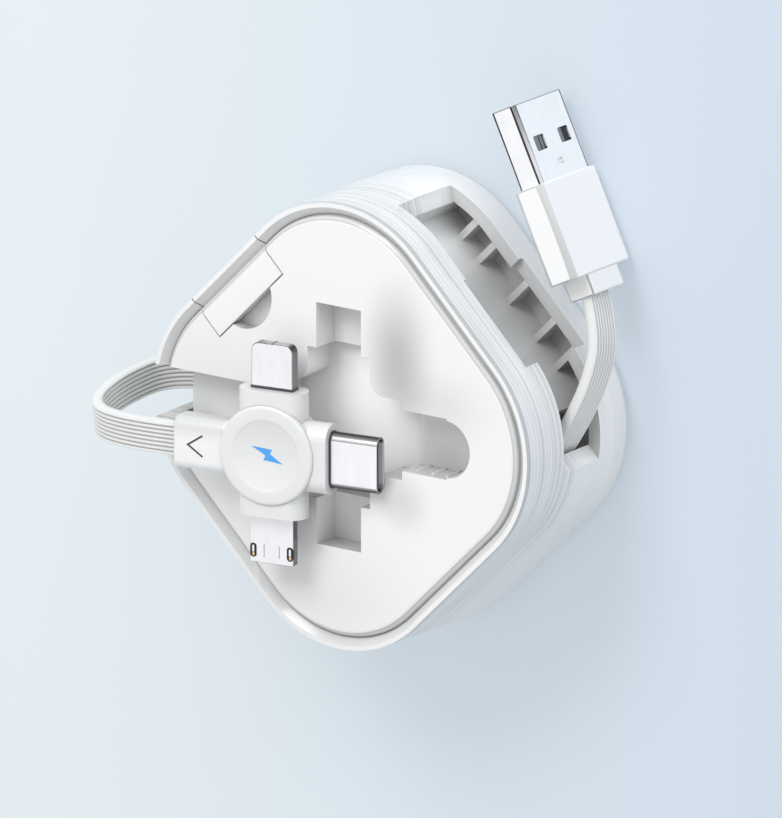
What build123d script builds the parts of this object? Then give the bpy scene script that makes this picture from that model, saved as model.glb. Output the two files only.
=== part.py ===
from build123d import *
import math
import os

os.makedirs("parts", exist_ok=True)

# Frame: the case lies on its back with its front up. X points to the right
# corner of the front, Y to its top corner, Z out of the front. Millimetres.

# Case
case_flats = 59.0
case_swell = 0.4
back_swell = 0.15
case_corner = 19.3
case_depth = 26.0
split_z = 13.0
case_wall = 2.1
rear_floor = 2.0
back_fillet = 2.0
mid_flats = case_flats + 2 * case_swell
mid_corner = case_corner + case_swell
side_draft = math.degrees(math.atan(case_swell / (case_depth - split_z)))
back_draft = math.degrees(math.atan(back_swell / split_z))
back_flats = mid_flats - 2 * back_swell
back_corner = mid_corner - back_swell
inner_flats = mid_flats - 2 * case_wall
inner_corner = mid_corner - case_wall

# Front rim, groove and raised border, as insets from the front edge
rim_inset = 0.7
groove_inset = 1.8
groove_z = case_depth - 1.05
bead_inset = 2.25
bead_z = case_depth - 0.4
border_inset = 2.95
panel_gap = 0.06
panel_under_z = case_depth - 2.6
ledge_inset = 3.6
ledge_under_z = case_depth - 4.0

# Pocket in the front
arm_half = 4.0
arm_end = 18.3
waist_half = 5.6
waist_end = 11.4
side_waist_half = 6.0
waist_round = 2.4
right_arm_half = 4.6
right_arm_end = 19.35
right_round = 4.3
right_round_x = 19.2
arm_floor_z = case_depth - 4.6
deep_floor_z = case_depth - 6.5
pocket_wall = 1.2
pocket_floor = 1.4
channel_end_x = 29.8
notch_floor_z = 8.0

# Bay for the large plug, in a frame with x along the side and y out of it
bay_floor_n = 22.8
bay_floor_thick = 1.3
bay_start = -17.2
shell_bay_start = -16.7
body_bay_start = -4.1
body_bay_end = 11.65
exit_cut_n = 21.7
well_start = 17.5
gusset_places = (-12.9, -8.5, -1.0, 5.9, 11.1)
gusset_thick = 1.05
gusset_top = 5.45

# Stand leaf
leaf_half = 8.0
leaf_gap = 0.18
leaf_inner_n = 22.45
leaf_under_z = case_depth - 1.7
leaf_skin = 1.9
hinge_n = 27.9
hinge_z = 11.5
hinge_radius = 0.9
hinge_clearance = 0.06
knuckle_radius = 1.85
swing_room = 2.9
scoop_radius = 5.3
scoop_n = 24.6
scoop_z = case_depth - 2.3

# Reel
ring_inner = 21.3
ring_outer = 22.5
post_radius = 3.0
post_top = 17.1
reel_clearance = 0.06
flange_radius = 20.8
barrel_outer = 19.4
barrel_inner = 18.2
hub_radius = 7.5
cam_inner = 15.2
cam_outer = 17.8
coil_inner = 7.6
coil_outer = 19.4

# Flat cable
cable_width = 5.4
cable_thick = 1.7
rib_pitch = 0.64

# Three-plug head, tilted about Y, its disc face centred here
head_tilt = 10.0
head_x = -7.9
head_y = -4.0
head_z = 33.3
disc_radius = 7.55
disc_thick = 1.1
dish_radius = 5.25
collar_width = 10.7
collar_thick = 5.1
collar_reach = 9.5
collar_z = -3.0
collar_round = 2.5
web_round = 2.6
web_half = 1.95
core_radius = 6.9
board_radius = 5.4
board_room = 3.2
neck_height = 7.9
neck_thick = 4.8
neck_round = 1.5
neck_joint = 8.2
neck_end = 14.8

# Large flat plug, lying on its narrow edge
plug_x = 31.83
plug_y = 24.46
plug_z = 7.7
plug_turn = 115.8
body_length = 14.6
body_width = 14.2
body_thick = 5.2
shell_length = 12.0
shell_width = 12.0
shell_thick = 4.5
shell_skin = 0.35
relief_length = 3.1
relief_width = 7.8
relief_thick = 4.9

bay = Plane(origin=(0, 0, 0), x_dir=(1, -1, 0), z_dir=(0, 0, 1))
side = Plane(origin=(0, 0, 0), x_dir=(1, 1, 0), z_dir=(0, 0, 1))
tilt = math.radians(head_tilt)
head = Plane(
    origin=(head_x, head_y, head_z),
    x_dir=(math.cos(tilt), 0, -math.sin(tilt)),
    z_dir=(math.sin(tilt), 0, math.cos(tilt)),
)
turn = math.radians(plug_turn)
plug = Plane(
    origin=(plug_x, plug_y, plug_z),
    x_dir=(math.cos(turn), math.sin(turn), 0),
    z_dir=(0, 0, 1),
)


def block(plane, x, y, z, mode=Mode.ADD):
    """A box between the given limits along the plane's own axes."""
    middle = ((x[0] + x[1]) / 2, (y[0] + y[1]) / 2, (z[0] + z[1]) / 2)
    with Locations(plane.location * Location(middle)):
        Box(x[1] - x[0], y[1] - y[0], z[1] - z[0], mode=mode)


def post(x, y, z, radius, mode=Mode.ADD):
    """An upright cylinder between two heights."""
    with Locations((x, y, (z[0] + z[1]) / 2)):
        Cylinder(radius, z[1] - z[0], mode=mode)


plate_flats = case_flats - 2 * groove_inset - 2 * panel_gap
plate_corner = case_corner - groove_inset - panel_gap
bead_flats = plate_flats - 2 * (bead_inset - groove_inset)
bead_corner = plate_corner - (bead_inset - groove_inset)
groove_flats = case_flats - 2 * groove_inset
groove_corner = case_corner - groove_inset
rim_slope = math.degrees(math.atan((groove_inset - rim_inset) / (case_depth - groove_z)))
bead_slope = math.degrees(math.atan((bead_inset - groove_inset) / (bead_z - groove_z)))
border_slope = math.degrees(math.atan((border_inset - bead_inset) / (case_depth - bead_z)))


def cut_rim():
    """Open the inside of the flat rim down to the foot of the groove."""
    with BuildSketch(Plane.XY.offset(groove_z)) as opening:
        RectangleRounded(groove_flats, groove_flats, groove_corner, rotation=45)
    extrude(opening.sketch, amount=case_depth - groove_z, taper=-rim_slope, mode=Mode.SUBTRACT)


def raise_border():
    """The bead beside the groove and the sloped border up to the front."""
    with BuildSketch(Plane.XY.offset(groove_z)) as foot:
        RectangleRounded(plate_flats, plate_flats, plate_corner, rotation=45)
    extrude(foot.sketch, amount=bead_z - groove_z, taper=bead_slope)
    with BuildSketch(Plane.XY.offset(bead_z)) as crest:
        RectangleRounded(bead_flats, bead_flats, bead_corner, rotation=45)
    extrude(crest.sketch, amount=case_depth - bead_z, taper=border_slope)


# Screws: x, y of each and the boss sizes
screw_places = ((0.0, -28.2), (-2.8, 27.9), (17.7, -17.7), (-17.7, -17.7))
boss_radius = 2.4
screw_radius = 1.0
screw_head_radius = 2.0
screw_head_z = (0.4, 1.6)
screw_top = 20.5

# Rear half of the case
with BuildPart() as rear_housing:
    with BuildSketch(Plane.XY):
        RectangleRounded(back_flats, back_flats, back_corner, rotation=45)
    extrude(amount=split_z, taper=-back_draft)
    fillet(rear_housing.faces().sort_by(Axis.Z)[0].edges(), back_fillet)
    with BuildSketch(Plane.XY.offset(rear_floor)):
        RectangleRounded(inner_flats, inner_flats, inner_corner, rotation=45)
    extrude(amount=split_z - rear_floor, mode=Mode.SUBTRACT)
    # Ring round the reel, bay floor, bay end wall and gussets
    with BuildSketch(Plane.XY.offset(rear_floor - 0.2)):
        Circle(ring_outer)
        Circle(ring_inner, mode=Mode.SUBTRACT)
    extrude(amount=split_z - rear_floor + 0.2)
    block(bay, (bay_start - 1.3, well_start), (bay_floor_n - bay_floor_thick, bay_floor_n), (1.8, split_z))
    block(bay, (bay_start - 1.3, bay_start), (bay_floor_n - bay_floor_thick, 27.3), (1.8, split_z))
    for place in gusset_places:
        gusset = (place - gusset_thick / 2, place + gusset_thick / 2)
        block(bay, gusset, (bay_floor_n - 0.2, 27.9), (1.8, gusset_top))
    # Post of the reel and screw bosses
    post(0, 0, (1.8, post_top), post_radius)
    for x, y in screw_places:
        post(x, y, (1.8, split_z), boss_radius)
    # Lugs that hold the pin of the stand leaf
    for end in (-1, 1):
        low, high = sorted((end * (leaf_half + leaf_gap), end * (leaf_half + 2.2)))
        block(side, (low, high), (25.4, 29.2), (1.8, split_z))
    # Windows of the bay and the slot that runs out at the right corner
    block(bay, (shell_bay_start, body_bay_start), (bay_floor_n, 32), (6.5, 14), Mode.SUBTRACT)
    block(bay, (body_bay_start, body_bay_end), (bay_floor_n, 32), (5.5, 14), Mode.SUBTRACT)
    block(bay, (body_bay_end, 27), (bay_floor_n, 32), (8.2, 14), Mode.SUBTRACT)
    block(bay, (well_start, 30), (exit_cut_n, 36), (8.2, 14), Mode.SUBTRACT)
    # Ramp that leads a fingertip under the plug
    with BuildSketch(Plane.XY.offset(6.4)):
        with BuildLine(bay):
            Polyline((-19.35, 27.57), (-17.2, 26.2), (-16.6, 26.2), (-16.6, 32), (-19.35, 32), close=True)
        make_face()
    extrude(amount=8, mode=Mode.SUBTRACT)
    # Notch of the left corner and the windows of the reel ring
    block(Plane.XY, (-36, -27), (-arm_half, arm_half), (notch_floor_z, 14), Mode.SUBTRACT)
    block(Plane.XY, (-24, -19), (-arm_half, arm_half), (notch_floor_z, 14), Mode.SUBTRACT)
    with Locations(Location((22.0, -9.6, 11.5), (0, 0, -23.6))):
        Box(5, 8, 7, mode=Mode.SUBTRACT)
    # Room for the leaf's knuckle and for its foot as it swings out, and the pin hole
    leaf_span = (-leaf_half - leaf_gap, leaf_half + leaf_gap)
    block(side, leaf_span, (25.7, 32), (hinge_z - knuckle_radius - 0.25, 14), Mode.SUBTRACT)
    block(side, leaf_span, (hinge_n, 32), (hinge_z - swing_room, 14), Mode.SUBTRACT)
    with Locations(side.location * Location((0, hinge_n, hinge_z), (0, 90, 0))):
        Cylinder(hinge_radius, 2 * leaf_half + 3.4, mode=Mode.SUBTRACT)
    # Screw holes with sunk heads, and the thread of the reel screw
    for x, y in screw_places:
        post(x, y, (-1, screw_head_z[1]), screw_head_radius + 0.15, Mode.SUBTRACT)
        post(x, y, (0, split_z + 1), screw_radius + 0.15, Mode.SUBTRACT)
    post(0, 0, (9.0, 20), 1.2, Mode.SUBTRACT)

rear_housing.part.label = "rear_housing"
export_step(rear_housing.part, "parts/rear_housing.step")

# Front half of the case
with BuildPart() as front_housing:
    with BuildSketch(Plane.XY.offset(case_depth)):
        RectangleRounded(case_flats, case_flats, case_corner, rotation=45)
    extrude(amount=-(case_depth - split_z), taper=-side_draft)
    ledge_flats = case_flats - 2 * ledge_inset
    # Main hollow, ledge under the panel, seat of the panel and groove wall
    with BuildSketch(Plane.XY.offset(split_z)):
        RectangleRounded(inner_flats, inner_flats, inner_corner, rotation=45)
    extrude(amount=ledge_under_z - split_z, mode=Mode.SUBTRACT)
    with BuildSketch(Plane.XY.offset(ledge_under_z)):
        RectangleRounded(ledge_flats, ledge_flats, case_corner - ledge_inset, rotation=45)
    extrude(amount=panel_under_z - ledge_under_z, mode=Mode.SUBTRACT)
    with BuildSketch(Plane.XY.offset(panel_under_z)):
        RectangleRounded(groove_flats, groove_flats, groove_corner, rotation=45)
    extrude(amount=groove_z - panel_under_z, mode=Mode.SUBTRACT)
    cut_rim()
    # Bay floor, end wall and front wall of the bay
    block(bay, (bay_start - 1.3, well_start), (bay_floor_n - bay_floor_thick, bay_floor_n), (split_z, 21.5))
    block(bay, (bay_start - 1.3, bay_start), (bay_floor_n - bay_floor_thick, 27.3), (split_z, 21.5))
    block(bay, (bay_start - 1.3, well_start), (bay_floor_n - bay_floor_thick, 28.2), (20.1, 21.6))
    # Wall behind the stand leaf and screw bosses
    block(side, (-leaf_half - 2.2, leaf_half + 2.2), (24.4, 25.8), (split_z, ledge_under_z + 0.2))
    for end in (-1, 1):
        low, high = sorted((end * (leaf_half + leaf_gap), end * (leaf_half + 2.2)))
        block(side, (low, high), (24.4, 28.6), (split_z, ledge_under_z + 0.2))
    for x, y in screw_places:
        post(x, y, (split_z, ledge_under_z + 0.4), boss_radius)
    # Windows, exit slot, ramp and notch, as in the rear half
    block(bay, (shell_bay_start, body_bay_start), (bay_floor_n, 32), (12, 19.4), Mode.SUBTRACT)
    block(bay, (body_bay_start, body_bay_end), (bay_floor_n, 32), (12, 20.05), Mode.SUBTRACT)
    block(bay, (body_bay_end, 27), (bay_floor_n, 32), (12, 17.2), Mode.SUBTRACT)
    block(bay, (well_start, 30), (exit_cut_n, 36), (12, 17.2), Mode.SUBTRACT)
    with BuildSketch(Plane.XY.offset(12)):
        with BuildLine(bay):
            Polyline((-19.35, 27.57), (-17.2, 26.2), (-16.6, 26.2), (-16.6, 32), (-19.35, 32), close=True)
        make_face()
    extrude(amount=19.4 - 12, mode=Mode.SUBTRACT)
    block(Plane.XY, (-36, -26), (-arm_half, arm_half), (12, 28), Mode.SUBTRACT)
    # Opening for the stand leaf, with a wall behind it
    block(side, leaf_span, (25.8, 32), (12, 28), Mode.SUBTRACT)
    block(side, leaf_span, (22.0, 32), (ledge_under_z - 0.1, 28), Mode.SUBTRACT)
    for x, y in screw_places:
        post(x, y, (split_z - 1, screw_top + 0.1), screw_radius, Mode.SUBTRACT)

front_housing.part.label = "front_housing"
export_step(front_housing.part, "parts/front_housing.step")

# Front panel with the pocket
with BuildPart() as front_panel:
    with BuildSketch(Plane.XY.offset(panel_under_z)):
        RectangleRounded(plate_flats, plate_flats, plate_corner, rotation=45)
    extrude(amount=groove_z - panel_under_z)
    raise_border()
    # Pocket walls that hang below the plate: the arms, then the deeper middle
    with BuildSketch(Plane.XY.offset(arm_floor_z - pocket_floor)):
        Rectangle(2 * (arm_half + pocket_wall), 2 * (arm_end + pocket_wall))
        with Locations((9.6, 0)):
            Rectangle(19.2, 2 * (right_arm_half + pocket_wall))
        with Locations((right_round_x, 0)):
            Circle(right_round + pocket_wall)
        with Locations((-14.6, 0)):
            Rectangle(22.4, 2 * (arm_half + pocket_wall))
    extrude(amount=panel_under_z - arm_floor_z + pocket_floor + 0.2)
    with BuildSketch(Plane.XY.offset(deep_floor_z - pocket_floor)):
        Rectangle(2 * (waist_half + pocket_wall), 2 * (waist_end + pocket_wall))
        Rectangle(2 * (waist_end + pocket_wall), 2 * (side_waist_half + pocket_wall))
    extrude(amount=panel_under_z - deep_floor_z + pocket_floor + 0.2)
    # Lip of the channel floor at the left corner
    block(Plane.XY, (-channel_end_x, -25.5), (-arm_half + 0.1, arm_half - 0.1), (20.0, arm_floor_z + 0.3))
    # Pad under the stand leaf, boss of the pawl pin
    block(side, (-9.4, 9.4), (18.6, 25.6), (22.3, panel_under_z + 0.2))
    post(15.56, -7.78, (19.4, panel_under_z + 0.2), 1.5)
    # The pocket itself
    with BuildSketch(Plane.XY.offset(arm_floor_z)):
        Rectangle(2 * arm_half, 2 * arm_end)
        with Locations((right_arm_end / 2, 0)):
            Rectangle(right_arm_end, 2 * right_arm_half)
        with Locations((right_round_x, 0)):
            Circle(right_round)
        with Locations((-18, 0)):
            Rectangle(36, 2 * arm_half)
    extrude(amount=6, mode=Mode.SUBTRACT)
    with BuildSketch(Plane.XY.offset(deep_floor_z)):
        Rectangle(2 * waist_half, 2 * waist_end)
        Rectangle(2 * waist_end, 2 * side_waist_half)
        inner = [v for v in vertices() if abs(v.X) < waist_half + 0.1 and abs(v.Y) < side_waist_half + 0.1]
        fillet(inner, waist_round)
    extrude(amount=8, mode=Mode.SUBTRACT)
    # Clip ribs on the lower wall of the right arm
    clip_y = (-right_arm_half - 0.1, -right_arm_half + 0.25)
    for x in (13.2, 15.9, 18.4):
        block(Plane.XY, (x, x + 0.35), clip_y, (arm_floor_z - 0.1, case_depth - 1.1))
    # Recess of the stand leaf and the finger scoop beside it
    block(side, leaf_span, (leaf_inner_n - leaf_gap, 32), (leaf_under_z - 0.12, 28), Mode.SUBTRACT)
    block(side, leaf_span, (26.3, 32), (20, 28), Mode.SUBTRACT)
    with BuildSketch(Plane.XY.offset(scoop_z)):
        with Locations(side.location * Location((0, scoop_n, 0))):
            Circle(scoop_radius)
    extrude(amount=4, mode=Mode.SUBTRACT)
    post(15.56, -7.78, (19, 22.6), 0.8, Mode.SUBTRACT)

front_panel.part.label = "front_panel"
export_step(front_panel.part, "parts/front_panel.step")

# Stand leaf: the case's own outline, cut to the leaf, with a hollow inside
with BuildPart() as stand_flap:
    with BuildSketch(Plane.XY.offset(case_depth)):
        RectangleRounded(case_flats, case_flats, case_corner, rotation=45)
    extrude(amount=-(case_depth - hinge_z), taper=-side_draft)
    cut_rim()
    raise_border()
    block(side, (-leaf_half, leaf_half), (leaf_inner_n, 34), (hinge_z, 28), Mode.INTERSECT)
    leaf_cut = (-leaf_half - 1, leaf_half + 1)
    block(side, leaf_cut, (20, 29.6 - leaf_skin), (hinge_z - 1, leaf_under_z), Mode.SUBTRACT)
    with Locations(side.location * Location((0, hinge_n, hinge_z), (0, 90, 0))):
        Cylinder(knuckle_radius, 2 * leaf_half)
        Cylinder(hinge_radius + hinge_clearance, 2 * leaf_half + 2, mode=Mode.SUBTRACT)

stand_flap.part.label = "stand_flap"
export_step(stand_flap.part, "parts/stand_flap.step")

with BuildPart() as stand_hinge_pin:
    with Locations(side.location * Location((0, hinge_n, hinge_z), (0, 90, 0))):
        Cylinder(hinge_radius, 2 * leaf_half + 3.4)

stand_hinge_pin.part.label = "stand_hinge_pin"
export_step(stand_hinge_pin.part, "parts/stand_hinge_pin.step")

# Reel: two flanges, hub, spring barrel and the pawl's ring groove
with BuildPart() as reel:
    post(0, 0, (8.2, 9.6), flange_radius)
    post(0, 0, (9.4, 15.8), hub_radius)
    post(0, 0, (15.6, 17.0), flange_radius)
    with BuildSketch(Plane.XY.offset(2.7)):
        Circle(barrel_outer)
        Circle(barrel_inner, mode=Mode.SUBTRACT)
    extrude(amount=5.7)
    with BuildSketch(Plane.XY.offset(16.2)):
        Circle(cam_outer)
        Circle(cam_inner, mode=Mode.SUBTRACT)
    extrude(amount=2, mode=Mode.SUBTRACT)
    post(0, 0, (0, 20), post_radius + reel_clearance, Mode.SUBTRACT)

reel.part.label = "reel"
export_step(reel.part, "parts/reel.step")

# Cable on the reel, as one ring as wide as the flat cable
with BuildPart() as wound_cable:
    with BuildSketch(Plane.XY.offset(9.9)):
        Circle(coil_outer)
        Circle(coil_inner, mode=Mode.SUBTRACT)
    extrude(amount=cable_width)

wound_cable.part.label = "wound_cable"
export_step(wound_cable.part, "parts/wound_cable.step")

# Spiral spring of half-circle arcs
spring_pitch = 1.7
spring_turns = 7
with BuildPart() as spiral_spring:
    with BuildSketch(Plane.XY.offset(3.6)):
        with BuildLine():
            for half in range(2 * spring_turns):
                middle = 0.0 if half % 2 == 0 else -spring_pitch / 4
                arc_radius = 4.4 + half * spring_pitch / 4
                CenterArc((middle, 0), arc_radius, 0 if half % 2 == 0 else 180, 180)
        trace(line_width=0.3)
    extrude(amount=4.2)

spiral_spring.part.label = "spiral_spring"
export_step(spiral_spring.part, "parts/spiral_spring.step")

with BuildPart() as spring_cover:
    with BuildSketch(Plane.XY.offset(2.7)):
        Circle(barrel_inner - 0.03)
        Circle(post_radius + 0.4, mode=Mode.SUBTRACT)
    extrude(amount=0.7)

spring_cover.part.label = "spring_cover"
export_step(spring_cover.part, "parts/spring_cover.step")

# Screw with a wide washer head on the post
with BuildPart() as reel_retainer:
    post(0, 0, (post_top, 17.8), 4.2)
    post(0, 0, (10.0, post_top + 0.1), 1.2)

reel_retainer.part.label = "reel_retainer"
export_step(reel_retainer.part, "parts/reel_retainer.step")

# Pawl: lever on its pin, its nose in the ring groove of the reel
pawl_plane = Plane(origin=(15.56, -7.78, 17.4), x_dir=(-1, -1, 0), z_dir=(0, 0, 1))
with BuildPart() as pawl:
    with BuildSketch(pawl_plane):
        with Locations((2.75, 0)):
            SlotCenterToCenter(5.5, 2.8)
        Circle(0.86, mode=Mode.SUBTRACT)
    extrude(amount=1.3)
    with BuildSketch(pawl_plane):
        with Locations((5.5, 0)):
            Circle(0.6)
    extrude(amount=-0.9)

pawl.part.label = "pawl"
export_step(pawl.part, "parts/pawl.step")

with BuildPart() as pawl_pin:
    post(15.56, -7.78, (17.35, 22.5), 0.8)
    post(15.56, -7.78, (17.1, 17.35), 1.2)

pawl_pin.part.label = "pawl_pin"
export_step(pawl_pin.part, "parts/pawl_pin.step")

with BuildPart() as case_screws:
    for x, y in screw_places:
        post(x, y, screw_head_z, screw_head_radius)
        post(x, y, (screw_head_z[1] - 0.1, screw_top), screw_radius)
    for x, y in screw_places:
        block(Plane.XY, (x - 1.3, x + 1.3), (y - 0.25, y + 0.25), (0, 0.9), Mode.SUBTRACT)
        block(Plane.XY, (x - 0.25, x + 0.25), (y - 1.3, y + 1.3), (0, 0.9), Mode.SUBTRACT)

case_screws.part.label = "case_screws"
export_step(case_screws.part, "parts/case_screws.step")

# Left free stretch of flat cable: one loop from the neck down into the notch.
# Its outline is drawn in the loop's own plane and pulled to the cable's width.
left_normal = (0.021, 0.982, 0.185)
left_start = (-23.0, -4.0, 32.9)
left_plane = Plane(origin=left_start, x_dir=(-0.985, 0.0, 0.174), z_dir=left_normal)
left_points = [(0, 0), (8.5, 0.2), (16.6, -2.6), (16.9, -12.5), (11.9, -22.4), (1.0, -20.8)]
right_plane = Plane(origin=(33.33, 21.46, 8.45), x_dir=(1, 0, 0), z_dir=(0, 0.2045, 0.979))
right_points = [(-0.45, 0.9), (2.5, -5.2), (1.9, -12.0), (-0.6, -18.6), (-3.8, -24.6), (-7.2, -30.1)]


def bends(points):
    """Radius at each inner point: 0.45 of the shorter run over tan of half the turn."""
    radii = []
    for before, here, after in zip(points, points[1:], points[2:]):
        run_in = math.dist(before, here)
        run_out = math.dist(here, after)
        angle_in = math.atan2(here[1] - before[1], here[0] - before[0])
        angle_out = math.atan2(after[1] - here[1], after[0] - here[0])
        half_turn = abs((angle_out - angle_in + math.pi) % (2 * math.pi) - math.pi) / 2
        radii.append(0.45 * min(run_in, run_out) / math.tan(half_turn))
    return radii


left_radii = bends(left_points)
right_radii = bends(right_points)
print("left radii", [round(radius, 1) for radius in left_radii])
print("right radii", [round(radius, 1) for radius in right_radii])

with BuildPart() as left_ribbon:
    with BuildSketch(left_plane):
        with BuildLine():
            left_line = FilletPolyline(*left_points, radius=left_radii)
        trace(line_width=cable_thick)
    extrude(amount=cable_width / 2, both=True)

left_ribbon.part.label = "left_ribbon"
export_step(left_ribbon.part, "parts/left_ribbon.step")

with BuildPart() as right_ribbon:
    with BuildSketch(right_plane):
        with BuildLine():
            right_line = FilletPolyline(*right_points, radius=right_radii)
        trace(line_width=cable_thick)
    extrude(amount=cable_width / 2, both=True)

right_ribbon.part.label = "right_ribbon"
export_step(right_ribbon.part, "parts/right_ribbon.step")

for name, line, made in (("left", left_line, left_ribbon), ("right", right_line, right_ribbon)):
    wanted = cable_width * cable_thick * line.length
    print(name, "ribbon length", round(line.length, 1), "volume", round(made.part.volume, 1), round(wanted, 1))

# Posts with a slot that lead the cable to the reel
left_end = left_plane.from_local_coords((left_points[-1][0], left_points[-1][1], 0))
right_end = right_plane.from_local_coords((right_points[-1][0], right_points[-1][1], 0))
guide_slot = cable_thick + 0.6
guide_width = cable_width + 0.6
with BuildPart() as left_guide:
    block(Plane.XY, (left_end.X + 0.25, left_end.X + 3.6), (-4.6, 4.6), (rear_floor, left_end.Z + 2.8))
    slot_z = (left_end.Z - guide_slot / 2, left_end.Z + guide_slot / 2)
    slot_y = (left_end.Y - guide_width / 2, left_end.Y + guide_width / 2)
    block(Plane.XY, (left_end.X - 1, left_end.X + 5), slot_y, slot_z, Mode.SUBTRACT)

left_guide.part.label = "left_guide"
export_step(left_guide.part, "parts/left_guide.step")

right_run = (right_points[-1][0] - right_points[-2][0], right_points[-1][1] - right_points[-2][1])
guide_plane = Plane(
    origin=(right_end.X, right_end.Y, 0), x_dir=(right_run[0], right_run[1], 0), z_dir=(0, 0, 1)
)
with BuildPart() as right_guide:
    block(guide_plane, (-0.6, 2.8), (-2.3, 2.3), (rear_floor, right_end.Z + 4.2))
    slot_z = (right_end.Z - guide_width / 2, right_end.Z + guide_width / 2)
    block(guide_plane, (-1, 5), (-guide_slot / 2, guide_slot / 2), slot_z, Mode.SUBTRACT)

right_guide.part.label = "right_guide"
export_step(right_guide.part, "parts/right_guide.step")

# Three-plug head
bolt_points = ((-2.5, 1.1), (0.7, 0.85), (0.35, 0.15), (2.5, -1.1), (-0.7, -0.85), (-0.35, -0.15))
head_middle = head.from_local_coords((0, 0, collar_z))
right_axis = Plane(origin=head_middle, x_dir=(0, 1, 0), z_dir=head.x_dir)
upper_axis = Plane(origin=head_middle, x_dir=head.x_dir, z_dir=(0, -1, 0))
with BuildPart() as head_body:
    with BuildSketch(head.offset(collar_z - collar_thick / 2)):
        Circle(core_radius)
    extrude(amount=-disc_thick - collar_z + collar_thick / 2)
    # Collars of the plugs, round at both ends of their section
    with BuildSketch(right_axis):
        RectangleRounded(collar_width, collar_thick, collar_round)
    extrude(amount=collar_reach)
    with BuildSketch(upper_axis):
        RectangleRounded(collar_width, collar_thick, collar_round)
    extrude(amount=collar_reach, both=True)
    # Neck, and the small curved webs beside the right collar
    with BuildSketch(right_axis):
        RectangleRounded(neck_height, neck_thick, neck_round)
    extrude(amount=-neck_joint)
    corner = collar_width / 2 - collar_round / 2
    web_middle = corner + web_round
    for end in (-1, 1):
        with BuildSketch(head.offset(collar_z - web_half)):
            with Locations((web_middle / 2, end * web_middle / 2)):
                Rectangle(web_middle, web_middle)
            with Locations((web_middle, end * web_middle)):
                Circle(web_round, mode=Mode.SUBTRACT)
        extrude(amount=2 * web_half)
    # Seat of the disc and room for the board
    with BuildSketch(head.offset(-disc_thick)):
        Circle(disc_radius + 0.03)
    extrude(amount=3, mode=Mode.SUBTRACT)
    with BuildSketch(head.offset(-disc_thick)):
        Circle(board_radius)
    extrude(amount=-board_room, mode=Mode.SUBTRACT)

head_body.part.label = "head_body"
export_step(head_body.part, "parts/head_body.step")

with BuildPart() as head_cap:
    with BuildSketch(head.offset(-disc_thick)):
        Circle(disc_radius)
    extrude(amount=disc_thick)
    fillet(head_cap.faces().sort_by(Axis(head.origin, head.z_dir))[-1].edges(), 0.5)
    with Locations(head.location * Location((0, 0, 30.0 - 0.45))):
        Sphere(30.0, mode=Mode.SUBTRACT)
    # Seat of the bolt mark
    with BuildSketch(head.offset(-0.7)):
        with BuildLine():
            Polyline(*bolt_points, close=True)
        make_face()
    extrude(amount=2, mode=Mode.SUBTRACT)

head_cap.part.label = "head_cap"
export_step(head_cap.part, "parts/head_cap.step")

with BuildPart() as bolt_mark:
    with BuildSketch(head.offset(-0.7)):
        with BuildLine():
            Polyline(*bolt_points, close=True)
        make_face()
    extrude(amount=0.29)

bolt_mark.part.label = "bolt_mark"
export_step(bolt_mark.part, "parts/bolt_mark.step")

with BuildPart() as head_board:
    with BuildSketch(head.offset(-4.0)):
        Circle(5.1)
    extrude(amount=0.8)

head_board.part.label = "head_board"
export_step(head_board.part, "parts/head_board.step")

# Slim plug with eight contacts on its back
tab_width = 6.7
tab_length = 6.9
tab_thick = 1.5
tab_front = -2.2
with BuildPart() as tab_plug:
    block(head, (-tab_width / 2, tab_width / 2), (collar_reach, collar_reach + tab_length), (tab_front - tab_thick, tab_front))
    fillet(tab_plug.edges().filter_by(Axis(head.origin, head.z_dir)).sort_by(Axis.Y)[-2:], 1.2)
    block(head, (-tab_width / 2 - 0.55, tab_width / 2 + 0.55), (collar_reach, collar_reach + 0.5), (tab_front - tab_thick - 0.4, tab_front + 0.3))

tab_plug.part.label = "tab_plug"
export_step(tab_plug.part, "parts/tab_plug.step")

with BuildPart() as tab_contacts:
    for place in range(8):
        middle = (place - 3.5) * 0.66
        block(head, (middle - 0.2, middle + 0.2), (collar_reach + 2.4, collar_reach + 5.7), (tab_front - tab_thick - 0.06, tab_front - tab_thick))

tab_contacts.part.label = "tab_contacts"
export_step(tab_contacts.part, "parts/tab_contacts.step")

# Oval plug
oval_width = 8.5
oval_thick = 2.65
oval_length = 7.7
oval_face = Plane(origin=head.from_local_coords((collar_reach, 0, collar_z)), x_dir=(0, 1, 0), z_dir=head.x_dir)
with BuildPart() as c_shell:
    with BuildSketch(oval_face):
        RectangleRounded(oval_width, oval_thick, 1.3)
        RectangleRounded(oval_width - 0.7, oval_thick - 0.7, 0.95, mode=Mode.SUBTRACT)
    extrude(amount=oval_length)

c_shell.part.label = "c_shell"
export_step(c_shell.part, "parts/c_shell.step")

with BuildPart() as c_tongue:
    with BuildSketch(oval_face):
        RectangleRounded(oval_width - 0.7, oval_thick - 0.7, 0.95)
    extrude(amount=1.6)
    with BuildSketch(oval_face):
        RectangleRounded(oval_width - 0.7, oval_thick - 0.7, 0.95)
        Rectangle(oval_width - 1.9, 0.8, mode=Mode.SUBTRACT)
    extrude(amount=oval_length - 0.8)

c_tongue.part.label = "c_tongue"
export_step(c_tongue.part, "parts/c_tongue.step")

# Small trapezoid plug with two latches
trap_width = 7.0
trap_thick = 1.85
trap_length = 7.4
trap_skin = 0.25
trap_face = Plane(origin=head.from_local_coords((0, -collar_reach, collar_z)), x_dir=head.x_dir, z_dir=(0, -1, 0))


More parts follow.
